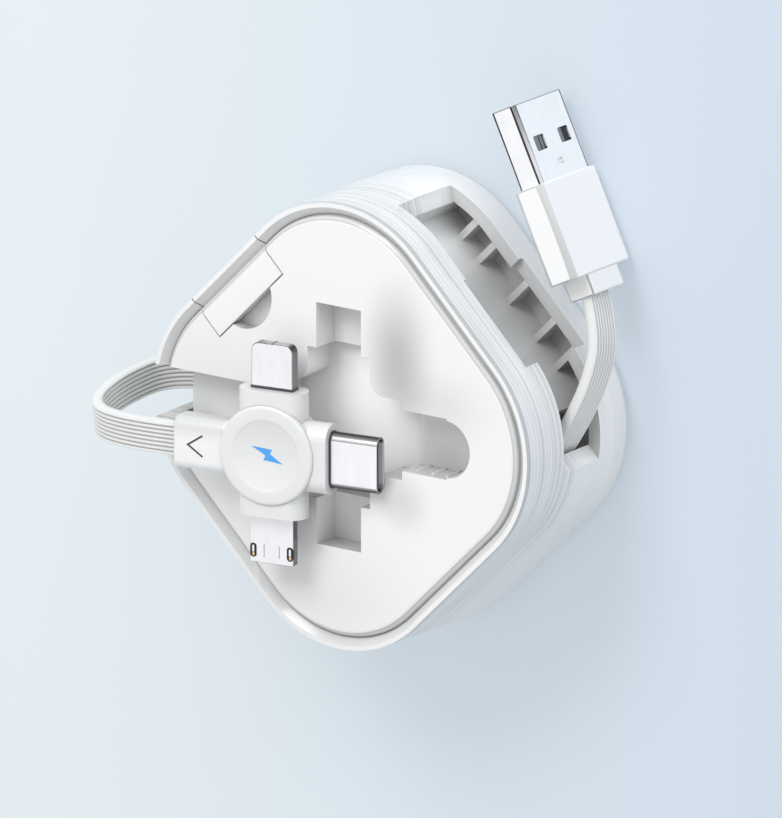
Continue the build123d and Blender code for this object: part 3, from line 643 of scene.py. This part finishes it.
def jacket_plastic():
    """Soft cable jacket with painted shade: the furrows between the ribs are darker than their crests,
    from the piece's own crest attribute, 1 on a crest and 0 in a furrow."""
    finish = plastic("cable_soft_white", (0.73, 0.73, 0.715), (0.36, 0.5), change=0.05, grain=1400.0)
    net = Net(finish.node_tree)
    crest = net.add("Attribute", attribute_name="crest").outputs["Fac"]
    shade_base(finish, net.span(crest, 0.1, 0.8, 0.66, 1.0))
    return finish


def sleeve_plastic():
    """The sleeve's white with painted shade, greyer towards its upper edge."""
    finish = plastic("sleeve_white", (0.84, 0.84, 0.835), (0.28, 0.38), change=0.03, coat=0.15)
    net = Net(finish.node_tree)
    across = net.dot(net.add("TexCoord").outputs["Object"], HEAD.axes[1])
    middle = HEAD.origin.dot(HEAD.axes[1]) * MM
    shade_base(finish, net.span(across, middle, middle + 4.2 * MM, 0.98, 0.74, smooth=True))
    return finish


PLATING = (0.97, 0.97, 0.98)
# Painted reflection on polished plating: white faces with dark sides, over how far they face away from the
# eye
POLISHED_REFLECTION_STOPS = ((0.0, 1.0), (0.42, 1.0), (0.48, 0.12), (0.58, 0.2), (0.68, 0.55), (0.8, 0.35), (1.0, 0.12))
# Painted reflection on the large plug's shell over the turn towards the plug's flat side or its
# tip, and on the oval plug over the turn towards its upper edge. Painted shade on the large plug's
# body over the turn towards its flat side; the relief is darker along its rounded long edges
SHELL_REFLECTION_STOPS = ((-0.98, 1.0), (-0.95, 0.05), (-0.2, 0.1), (-0.06, 1.0), (0.1, 1.0), (0.3, 0.45), (0.6, 0.5),
               (0.84, 0.85), (0.88, 0.04), (0.985, 0.04), (0.996, 1.0))
TIP_REFLECTION_STOPS = ((0.0, 1.0), (0.1, 1.0), (0.25, 0.15), (0.8, 0.15), (0.95, 0.7))
OVAL_REFLECTION_STOPS = ((-0.95, 0.08), (-0.7, 0.2), (-0.35, 0.35), (-0.2, 1.0), (0.14, 1.0), (0.2, 0.3), (0.3, 0.62),
              (0.6, 0.42), (0.85, 0.16), (1.0, 0.06))
RELIEF_STOPS = ((0.0, 1.0), (0.5, 1.0), (0.62, 0.42), (0.86, 0.42), (0.93, 1.0))
BODY_SHADE_STOPS = ((0.0, 1.0), (0.05, 1.0), (0.14, 0.74), (0.6, 0.64), (0.96, 0.6), (0.992, 1.0))

CASE_WHITE = case_plastic()
JACKET = jacket_plastic()
SLEEVE_WHITE = sleeve_plastic()
PLUG_WHITE = plastic("plug_white_satin", (0.745, 0.745, 0.74), (0.28, 0.38), change=0.03, coat=0.15)
# Painted shade in the corners and gaps of the head's white parts
hollow_shade(PLUG_WHITE, reach=3, lowest=0.7)
BODY_WHITE = plastic("plug_body_white", (0.87, 0.87, 0.865), (0.3, 0.4), change=0.02, coat=0.1)
corner_shade(BODY_WHITE, PLUG.axes[2], BODY_SHADE_STOPS)
RELIEF_WHITE = plastic("relief_white", (0.84, 0.84, 0.835), (0.3, 0.4), change=0.02)
corner_shade(RELIEF_WHITE, PLUG.axes[2], RELIEF_STOPS)
INNER_GREY = plastic("inner_grey", (0.62, 0.62, 0.61), (0.45, 0.6))
INSERT_DARK = plastic("insert_black", (0.012, 0.012, 0.013), (0.35, 0.5))
BLUE_MARK = plastic("mark_blue", (0.07, 0.36, 0.83), (0.3, 0.4), change=0.02)
GREY_MARK = plastic("mark_grey", (0.05, 0.05, 0.055), (0.4, 0.5))
BOARD_GREEN = plastic("board_green", (0.01, 0.08, 0.03), (0.3, 0.45))

# Painted reflection on the plating: dark rounded edges and sides, and dark bands on rounded long edges
HEAD_STEEL = metal("head_plating", PLATING, metallic=0.55)
edge_shade(HEAD_STEEL, HEAD, lowest=0.08)
facing_shade(HEAD_STEEL, POLISHED_REFLECTION_STOPS)
SHELL_STEEL = metal("shell_plating", PLATING, metallic=0.35)
corner_shade(SHELL_STEEL, PLUG.axes[2], SHELL_REFLECTION_STOPS)
corner_shade(SHELL_STEEL, PLUG.axes[0], TIP_REFLECTION_STOPS)
OVAL_STEEL = metal("oval_plating", PLATING, metallic=0.4)
corner_shade(OVAL_STEEL, HEAD.axes[1], OVAL_REFLECTION_STOPS)
facing_shade(OVAL_STEEL, POLISHED_REFLECTION_STOPS)
SLOT_GREY = metal("slot_grey", (0.5, 0.5, 0.5), (0.3, 0.4))
LEAF_GREY = metal("latch_leaf_grey", (0.3, 0.3, 0.3), (0.3, 0.4))
# Painted shade: a dark plating for the strips in the joints where the plugs meet the collar and for the slim
# plug's tip notch
GAP_SHADE_STEEL = metal("painted_gap_shade", (0.12, 0.12, 0.125), (0.2, 0.35))
PLAIN_STEEL = metal("plain_steel", (0.6, 0.6, 0.6), (0.25, 0.4))
GOLD = metal("contact_gold", (0.9, 0.66, 0.3))

# Flat cable

CABLE_WIDTH = 5.4
RIBS = 8
POINTS_PER_RIB = 10
# Half the jacket's thickness in a furrow, and the height of a crest over it
FURROW_HALF, CREST_HEIGHT = 0.57, 0.28
CREST_POWER = 0.7
# Share of the half width over which the outer edges are round, and the share from which on they
# count as a crest, with its value
ROUND_SHARE, EDGE_FROM, EDGE_CREST = 0.09, 0.97, 0.8


def route(name, place, points):
    """The cable's free stretch: one NURBS spline on the given points, order 3, ends held."""
    data = bpy.data.curves.new(name, "CURVE")
    data.dimensions = "3D"
    data.resolution_u = 16
    spline = data.splines.new("NURBS")
    spline.points.add(len(points) - 1)
    where = place.out([(x, y, 0.0) for x, y in points]) * MM
    spline.points.foreach_set("co", np.column_stack([where, np.ones(len(where))]).ravel())
    spline.order_u = 3
    spline.use_endpoint_u = True
    line = bpy.data.objects.new(name, data)
    bpy.context.scene.collection.objects.link(line)
    bpy.context.view_layer.update()
    read = bpy.data.meshes.new_from_object(line)
    path = np.zeros(len(read.vertices) * 3)
    read.vertices.foreach_get("co", path)
    bpy.data.objects.remove(line)
    bpy.data.meshes.remove(read)
    return path.reshape(-1, 3) / MM


def ribbed_section():
    """The jacket's closed outline with round ribs across and round outer edges, and the crest
    value of each of its points. The outer edges count as part of a crest."""
    across = np.linspace(-1, 1, RIBS * POINTS_PER_RIB + 1)
    wave = np.abs(np.sin(math.pi * RIBS / 2 * (across + 1)))
    half = FURROW_HALF + CREST_HEIGHT * wave ** CREST_POWER
    ends = np.clip((1 - np.abs(across)) / ROUND_SHARE, 0, 1)
    half = half * np.sqrt(1 - (1 - ends) ** 2)
    top = np.column_stack([across * CABLE_WIDTH / 2, half])
    bottom = np.column_stack([across[::-1] * CABLE_WIDTH / 2, -half[::-1]])
    outline = np.vstack([top[:-1], bottom[:-1]])
    crest = np.concatenate([wave[:-1], wave[::-1][:-1]])
    crest = np.where(np.abs(outline[:, 0]) > CABLE_WIDTH / 2 * EDGE_FROM, EDGE_CREST, crest)
    return outline, crest


def ribbon(name, place, points):
    """The ribbed section carried along the route: its width lies along the loop's own normal,
    its thickness along normal x tangent."""
    path = route(name + "_line", place, points)
    tangent = np.gradient(path, axis=0)
    tangent /= np.linalg.norm(tangent, axis=1, keepdims=True)
    wide = np.broadcast_to(place.axes[2], tangent.shape)
    thick = np.cross(wide, tangent)
    thick /= np.linalg.norm(thick, axis=1, keepdims=True)
    outline, crest = ribbed_section()
    rings = (path[:, None, :] + outline[None, :, 0, None] * wide[:, None, :]
             + outline[None, :, 1, None] * thick[:, None, :])
    piece = make_mesh(name, *wrapped(rings))
    # The crest value drives the painted shade in the jacket's furrows
    shade = piece.data.attributes.new("crest", "FLOAT", "POINT")
    shade.data.foreach_set("value", np.concatenate([np.tile(crest, len(rings)), [0.5, 0.5]]))
    return tidy(piece, sharp=60, merge=False), path


def path_length(path):
    return float(np.linalg.norm(np.diff(path, axis=0), axis=1).sum())


left_ribbon, left_path = ribbon("ribbon_left", LEFT_LOOP, LEFT_POINTS)
right_ribbon, right_path = ribbon("ribbon_right", RIGHT_LOOP, RIGHT_POINTS)
dress(left_ribbon, "left_ribbon", "case", JACKET)
dress(right_ribbon, "right_ribbon", "case", JACKET)
print("ribbon lengths", path_length(left_path), path_length(right_path))

# Case

# The ledge that the open leaf passes: its height, where its edge begins, and how far that falls
LEDGE_HEIGHT, LEDGE_EDGE, LEDGE_FALL = 9.4, 27.3, 0.15


def lower_ledge(skin):
    """The rear housing's ledge falls off at its edge, so the open leaf doesn't graze it."""
    for vertex in skin.data.vertices:
        beside = (vertex.co.y - vertex.co.x) * DIAGONAL
        if abs(vertex.co.z - LEDGE_HEIGHT * MM) < 0.02 * MM and beside > LEDGE_EDGE * MM:
            vertex.co.z -= LEDGE_FALL * MM


for node in ("front_housing", "front_panel", "rear_housing"):
    skin = softened(node, 0.13)
    dress(skin, node, "case", CASE_WHITE)
    if node == "rear_housing":
        lower_ledge(skin)
dress(softened("stand_flap", 0.2), "stand_flap", "stand", CASE_WHITE)

# Three-plug head

COLLAR_Z = -3.0
COLLAR_REACH = 9.5
NECK = Place(HEAD.out((0, 0, COLLAR_Z)), HEAD.axes[0], HEAD.axes[2])
# The sleeve along the neck's x axis: its outer end with a round edge, its end in the head, and its
# width, height and corner radius
SLEEVE_END, SLEEVE_ROOT, SLEEVE_EDGE = -15.4, -7.4, 0.6
SLEEVE_SECTION = (7.94, 4.84, 1.52)

dress(softened("head_body", 0.5, segments=4, angle=25), "head_body", "case", PLUG_WHITE)
sleeve_levels = [(SLEEVE_EDGE * (1 - math.sin(a)), SLEEVE_END + SLEEVE_EDGE * (1 - math.cos(a)))
                 for a in np.linspace(0, math.pi / 2, 6)]
neck = loft("neck_skin", stacked(SLEEVE_SECTION, sleeve_levels + [(0, SLEEVE_ROOT)], NECK), sharp=50)
dress(neck, "neck_sleeve", "case", SLEEVE_WHITE)

# The head's disc: radius, thickness, and the rounding of its edge above and below
DISC_RADIUS, DISC_THICK, EDGE_ABOVE, EDGE_BELOW = 7.55, 1.1, 0.5, 0.2
# The dish in it: radius, height of its border, and depth of its middle below that
DISH_RADIUS, DISH_BORDER, DISH_DEPTH = 5.25, -0.1, 0.75


def dish_height(radius):
    """Height of the dish in the disc: DISH_BORDER at its border, and deeper to its middle."""
    return DISH_BORDER - DISH_DEPTH * (1 - (np.asarray(radius) / DISH_RADIUS) ** 2)


def disc_profile():
    """The disc's rounded edge, a flat ring with a lip at its inside, then the dish."""
    angle = np.linspace(0, math.pi / 2, 7)
    under = np.column_stack([DISC_RADIUS - EDGE_BELOW + EDGE_BELOW * np.sin(angle),
                             EDGE_BELOW - DISC_THICK - EDGE_BELOW * np.cos(angle)])
    over = np.column_stack([DISC_RADIUS - EDGE_ABOVE + EDGE_ABOVE * np.cos(angle),
                            EDGE_ABOVE * np.sin(angle) - EDGE_ABOVE])
    lip = np.array([(5.6, 0.0), (5.45, -0.015), (5.34, -0.05), (DISH_RADIUS, DISH_BORDER)])
    radius = np.linspace(5.1, 0.0, 16)
    dish = np.column_stack([radius, dish_height(radius)])
    return np.vstack([[(0.0, -DISC_THICK)], under, over, lip, dish])


disc = turned_body("head_disc", disc_profile(), HEAD, around=128, sharp=60)
dress(disc, "head_cap", "case", PLUG_WHITE)

BOLT = np.array([(-2.5, 1.1), (0.7, 0.85), (0.35, 0.15), (2.5, -1.1), (-0.7, -0.85), (-0.35, -0.15)])
SIDE_STEPS = 8
INK_LIFT, INK_SUNK = 0.03, -0.02


def printed_bolt():
    """The lightning mark as a thin print that follows the dish: its outline drawn in from the
    border to the middle in steps, with its rim sunk into the dish."""
    steps = np.linspace(0, 1, SIDE_STEPS, endpoint=False)
    border = np.vstack([start + steps[:, None] * (end - start)
                        for start, end in zip(BOLT, np.roll(BOLT, -1, axis=0))])
    rings = []
    for share in (1.0, 1.0, 0.75, 0.5, 0.25):
        flat = border * share
        lift = dish_height(np.hypot(flat[:, 0], flat[:, 1])) + (INK_LIFT if rings else INK_SUNK)
        rings.append(HEAD.out(np.column_stack([flat, lift])))
    return loft("bolt_print", rings)


dress(printed_bolt(), "bolt_mark", "case", BLUE_MARK)

# Plated plugs of the head

HEAD_DETAILS = []


def head_detail(piece, finish):
    add_detail(piece, "steel", finish, HEAD_DETAILS)


# The slim plug: half width, corner radius at its tip, its root and tip, its back and front faces
TAB_HALF, TAB_CORNER = 3.35, 1.2
TAB_ROOT, TAB_TIP = 9.3, 16.4
TAB_BACK, TAB_FRONT = -4.1, -2.2


def tab_outline():
    """Slim plug seen from the front: straight at the collar, round corners at the tip."""
    angle = np.linspace(0, math.pi / 2, 9)
    out, tip = TAB_HALF - TAB_CORNER, TAB_TIP - TAB_CORNER
    right = np.column_stack([out + TAB_CORNER * np.cos(angle), tip + TAB_CORNER * np.sin(angle)])
    left = np.column_stack([-out - TAB_CORNER * np.sin(angle), tip + TAB_CORNER * np.cos(angle)])
    return np.vstack([[(-TAB_HALF, TAB_ROOT), (TAB_HALF, TAB_ROOT)], right, left])


tab = plate("tab_skin", tab_outline(), TAB_BACK, TAB_FRONT, HEAD, bevel=0.2)
dress(tab, "tab_plug", "case", HEAD_STEEL)
# Painted shade: a dark strip in the joint where the slim plug meets the collar, and a dark fill in its tip
# notch
seam = rectangle(-TAB_HALF - 0.07, TAB_HALF + 0.07, TAB_ROOT, TAB_ROOT + 0.65)
root_seam_shade = plate("tab_root_seam", seam, TAB_BACK - 0.08, TAB_FRONT + 0.05, HEAD, bevel=0.08, segments=2)
notch = rectangle(-0.14, 0.14, TAB_TIP - 0.12, TAB_TIP + 0.04)
tip_notch = plate("tab_tip_notch", notch, TAB_BACK + 0.1, TAB_FRONT - 0.05, HEAD, bevel=0.03, segments=1)
head_detail(root_seam_shade, GAP_SHADE_STEEL)
head_detail(tip_notch, GAP_SHADE_STEEL)

dress(softened("c_shell", 0.08), "c_shell", "case", OVAL_STEEL)
# Painted shade: a dark ring in the joint where the oval plug meets the collar
seam_shade_levels = [(0.0, COLLAR_REACH - 0.1), (0.0, COLLAR_REACH + 0.28), (0.1, COLLAR_REACH + 0.36)]
head_detail(loft("oval_root_seam", stacked((8.72, 2.87, 1.4), seam_shade_levels, NECK)), GAP_SHADE_STEEL)

MICRO_HALF_WIDTH, MICRO_HALF_THICK = 3.5, 0.925
MICRO_FRONT = COLLAR_Z + MICRO_HALF_THICK
# The small plug's tip, the bottom of its mouth, its wall and the chamfer of its lip
MICRO_TIP, MICRO_MOUTH, MICRO_WALL, MICRO_LIP = 16.9, 11.6, 0.25, 0.05
# Its back is narrower: each side slants in by this much, from this much behind the middle
MICRO_SLANT = 0.5
# Distance of its latches and slots from its middle line, and of the latches along it
LATCH_OUT, LATCH_ALONG, SLOT_OUT, SLOT_HALF = 2.98, 15.12, 1.235, 0.07


def trapezoid_ring(inset, along):
    """Section of the small plug, wide side to the front, drawn in by an inset, at a distance
    along the plug."""
    wide, front = MICRO_HALF_WIDTH - inset, MICRO_HALF_THICK - inset
    narrow = wide - MICRO_SLANT
    outline = [(-wide, front), (wide, front), (wide, -MICRO_SLANT), (narrow, -front), (-narrow, -front),
               (-wide, -MICRO_SLANT)]
    return HEAD.out([(x, -along, COLLAR_Z + z) for x, z in outline])


micro_levels = [(0, COLLAR_REACH - 0.8), (0, MICRO_TIP - MICRO_LIP), (MICRO_LIP, MICRO_TIP),
                (MICRO_WALL - MICRO_LIP, MICRO_TIP), (MICRO_WALL, MICRO_TIP - MICRO_LIP),
                (MICRO_WALL, MICRO_MOUTH)]
micro_skin = loft("micro_shell_skin", [trapezoid_ring(*level) for level in micro_levels], sharp=20)
round_edges(micro_skin, 0.09, segments=2, angle=50)
dress(micro_skin, "micro_shell", "case", HEAD_STEEL)
for side in (-1, 1):
    # A latch in its bed, and the slot beside it
    place = Place(HEAD.out((side * LATCH_OUT, -LATCH_ALONG, MICRO_FRONT)), HEAD.axes[0], HEAD.axes[2])
    bed = plate("latch_bed", rounded_rectangle(1.05, 2.15, 0.48, 5), -0.3, 0.03, place, 0.02, 1)
    hook_outline = rounded_rectangle(0.4, 1.15, 0.18, 4) + [0.1, 0.3]
    hook = plate("latch_hook", hook_outline, -0.2, 0.3, place, bevel=0.08, segments=2)
    tip_outline = rounded_rectangle(0.4, 0.5, 0.15, 4) + [0.1, -0.58]
    tip = plate("latch_tip", tip_outline, -0.2, 0.24, place, bevel=0.08, segments=2)
    head_detail(bed, INSERT_DARK)
    head_detail(hook, HEAD_STEEL)
    head_detail(tip, GOLD)
    slot = rectangle(side * SLOT_OUT - SLOT_HALF, side * SLOT_OUT + SLOT_HALF, -16.0, -14.1)
    head_detail(plate("micro_slot", slot, MICRO_FRONT - 0.2, MICRO_FRONT + 0.015, HEAD, 0.01, 1), SLOT_GREY)

# Large flat plug

# Sections are thickness, width and corner radius
BODY_LENGTH = 14.6
BODY_SECTION = (5.2, 14.2, 0.95)
RELIEF_END = -3.1
RELIEF_SECTION = (4.9, 7.8, 0.6)
SHELL_THICK = 4.5
SHELL_SECTION = (SHELL_THICK, 12.0, 0.7)
SHELL_SKIN = 0.35
SHELL_TIP = BODY_LENGTH + 12.0
# Windows of the shell's wide sides, two for the latches and a small square: x from and to, z from
# and to, corner radius, and the parts of the latch spring's leaf as shares of the window's width
WINDOWS = ((4.55, 6.8, 1.75, 4.2, 0.3, ((0.0, 0.52), (0.6, 0.84))),
           (4.55, 6.8, -4.2, -1.75, 0.3, ((0.0, 0.42),)),
           (1.8, 2.65, -0.55, 0.7, 0.12, ()))
# Depths of the front and the back of a window's bed below the shell's outside
BED_FRONT, BED_BACK = 0.27, 0.4
LEAF_THICK = 0.09
# Cosine to an axis over which a face counts as square to it
SQUARE = 0.9995


def flatten(piece, place):
    """Shade the faces that lie square to the place's axes flat, and only the others smooth."""
    for face in piece.data.polygons:
        face.use_smooth = bool(np.abs(place.axes @ np.array(face.normal)).max() < SQUARE)


def cut(piece, tools, place):
    """Take the tools out of a piece, keep flat faces flat, and remove the tools."""
    for tool in tools:
        step = piece.modifiers.new("cut", "BOOLEAN")
        step.operation = "DIFFERENCE"
        step.solver = "EXACT"
        step.object = tool
    bpy.context.view_layer.update()
    ready = piece.evaluated_get(bpy.context.evaluated_depsgraph_get())
    mesh = bpy.data.meshes.new_from_object(ready)
    piece.modifiers.clear()
    piece.data = mesh
    for tool in tools:
        bpy.data.objects.remove(tool)
    flatten(piece, place)


def plug_box(name, outline, levels):
    """A body of round-edged rectangular section along the plug's x axis."""
    return loft(name, stacked(outline, levels, PLUG), sharp=50)


def rounded_end(end, edge, half_way, inwards):
    """Levels of an end with a rounded edge: on the end, half way round the edge, and where the
    edge is over. inwards is 1 or -1 along the x axis."""
    return [(edge, end), (half_way, end + inwards * half_way), (0, end + inwards * edge)]


body_levels = rounded_end(0, 0.25, 0.07, 1) + rounded_end(BODY_LENGTH, 0.25, 0.07, -1)[::-1]
body_skin = plug_box("a_body_skin", BODY_SECTION, body_levels)
flatten(body_skin, PLUG)
dress(body_skin, "a_body", "case", BODY_WHITE)
relief_skin = plug_box("a_relief_skin", RELIEF_SECTION, rounded_end(RELIEF_END, 0.2, 0.06, 1) + [(0, 0)])
flatten(relief_skin, PLUG)
dress(relief_skin, "a_relief", "case", RELIEF_WHITE)
shell_levels = [(0, BODY_LENGTH - 3), (0, SHELL_TIP - 0.1), (0.05, SHELL_TIP), (SHELL_SKIN - 0.05, SHELL_TIP),
                (SHELL_SKIN, SHELL_TIP - 0.1), (SHELL_SKIN, BODY_LENGTH - 2.6)]
shell_skin = plug_box("a_shell_skin", SHELL_SECTION, shell_levels)


def window_tool(x0, x1, z0, z1, corner):
    """A bar through both wide sides with the window's round corners."""
    middle = ((x0 + x1) / 2 + BODY_LENGTH, 0, (z0 + z1) / 2)
    across = Place(PLUG.out(middle), PLUG.axes[0], PLUG.axes[1])
    flat = rounded_rectangle(x1 - x0, z1 - z0, corner, 4)
    return loft("window", [across.out(np.column_stack([flat, np.full(len(flat), y)])) for y in (-3.0, 3.0)])


cut(shell_skin, [window_tool(*window[:5]) for window in WINDOWS], PLUG)
dress(shell_skin, "a_shell", "case", SHELL_STEEL)

PLUG_DETAILS = []
PLUG_ROOT = Place(PLUG.out((BODY_LENGTH, 0, 0)), PLUG.axes[0], PLUG.axes[1])
for x0, x1, z0, z1, corner, leaves in WINDOWS:
    # The inside of the window, dark behind a leaf and white in the small square
    inside = ("dark_plastic", INSERT_DARK) if leaves else ("plug_white", RELIEF_WHITE)
    for side in (-1, 1):
        front, back = side * (SHELL_THICK / 2 - BED_FRONT), side * (SHELL_THICK / 2 - BED_BACK)
        low, high = sorted((front, back))
        bed = rectangle(x0 - 0.1, x1 + 0.1, -z1 - 0.1, -z0 + 0.1)
        add_detail(plate("window_bed", bed, low, high, PLUG_ROOT, 0.01, 1), *inside, PLUG_DETAILS)
        low, high = sorted((front, front + side * LEAF_THICK))
        for start, end in leaves:
            leaf = rectangle(x0 + 0.06, x1 - 0.06, -z1 + start * (z1 - z0) + 0.05, -z1 + end * (z1 - z0))
            leaf_piece = plate("latch_leaf", leaf, low, high, PLUG_ROOT, bevel=0.03, segments=2)
            add_detail(leaf_piece, "steel", LEAF_GREY, PLUG_DETAILS)

# Finishes of the CAD nodes that show

KEPT = {
    "stand_hinge_pin": PLAIN_STEEL, "reel": INNER_GREY, "wound_cable": JACKET, "spiral_spring": PLAIN_STEEL,
    "spring_cover": INNER_GREY, "reel_retainer": PLAIN_STEEL, "pawl": INNER_GREY, "pawl_pin": PLAIN_STEEL,
    "case_screws": PLAIN_STEEL, "left_guide": INNER_GREY, "right_guide": INNER_GREY,
    "head_board": BOARD_GREEN, "tab_contacts": GOLD, "c_tongue": INSERT_DARK, "micro_tongue": INSERT_DARK,
    "neck_mark": GREY_MARK, "a_tongue": PLUG_WHITE, "a_contacts": GOLD,
}
for node, finish in KEPT.items():
    give_finish(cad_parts[node].data, finish)

# Floor, light

FLOOR_RADIUS = 4000
FLOOR_HEIGHT = -0.1
FLOOR_TONES = ((0.78, 0.84, 0.87, 1), (0.61, 0.70, 0.80, 1))


def make_floor():
    """A pale floor disc a little below the case's back, bluer to the picture's right. It also glows in its
    own colours: painted light, which weakens the shadows cast on it.
    """
    angle = np.linspace(0, 2 * math.pi, 64, endpoint=False)
    edge = np.column_stack([FLOOR_RADIUS * np.cos(angle), FLOOR_RADIUS * np.sin(angle),
                            np.full(len(angle), FLOOR_HEIGHT)])
    floor = make_mesh("floor", edge, [range(len(edge))], smooth=False)
    finish, net, shader = new_finish("floor_pale")
    across = net.dot(net.add("TexCoord").outputs["Object"], PICTURE_RIGHT)
    tones = net.add("ValToRGB", {"Fac": net.span(across, -0.06, 0.06)})
    for point, tone in zip(tones.color_ramp.elements, FLOOR_TONES):
        point.color = tone
    colour = tones.outputs["Color"]
    net.fill(shader, {"Base Color": net.scaled(colour, 0.5), "Emission Color": colour,
                      "Emission Strength": 0.46, "Roughness": 0.75})
    floor.data.materials.append(finish)
    floor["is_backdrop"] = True


def lamp(name, right, up, towards, size, power):
    """A soft square lamp, placed in metres along the picture's right, up and camera directions
    from the case, and aimed at it."""
    data = bpy.data.lights.new(name, "AREA")
    data.shape = "SQUARE"
    data.size = size
    data.energy = power
    light = bpy.data.objects.new(name, data)
    bpy.context.scene.collection.objects.link(light)
    where = PICTURE_RIGHT * right + PICTURE_UP * up + TO_CAMERA * towards
    light.location = where
    light.rotation_mode = "QUATERNION"
    light.rotation_quaternion = (-where).to_track_quat("-Z", "Y")


def make_world():
    """A studio sky, brighter overhead than at the horizon."""
    world = bpy.data.worlds.new("studio")
    bpy.context.scene.world = world
    world.use_nodes = True
    net = Net(world.node_tree)
    height = net.apart(net.add("TexCoord").outputs["Generated"])["Z"]
    net.fill(net.nodes["Background"], {"Color": (0.965, 0.98, 1.0, 1),
                                       "Strength": net.span(height, -0.1, 0.9, 0.67, 0.83)})


bpy.context.scene.view_settings.view_transform = "Standard"
make_floor()
make_world()
lamp("key", right=-0.7, up=0.8, towards=1.0, size=0.7, power=10.0)
lamp("fill", right=0.53, up=0.59, towards=0.83, size=0.6, power=3.2)

low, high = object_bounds()
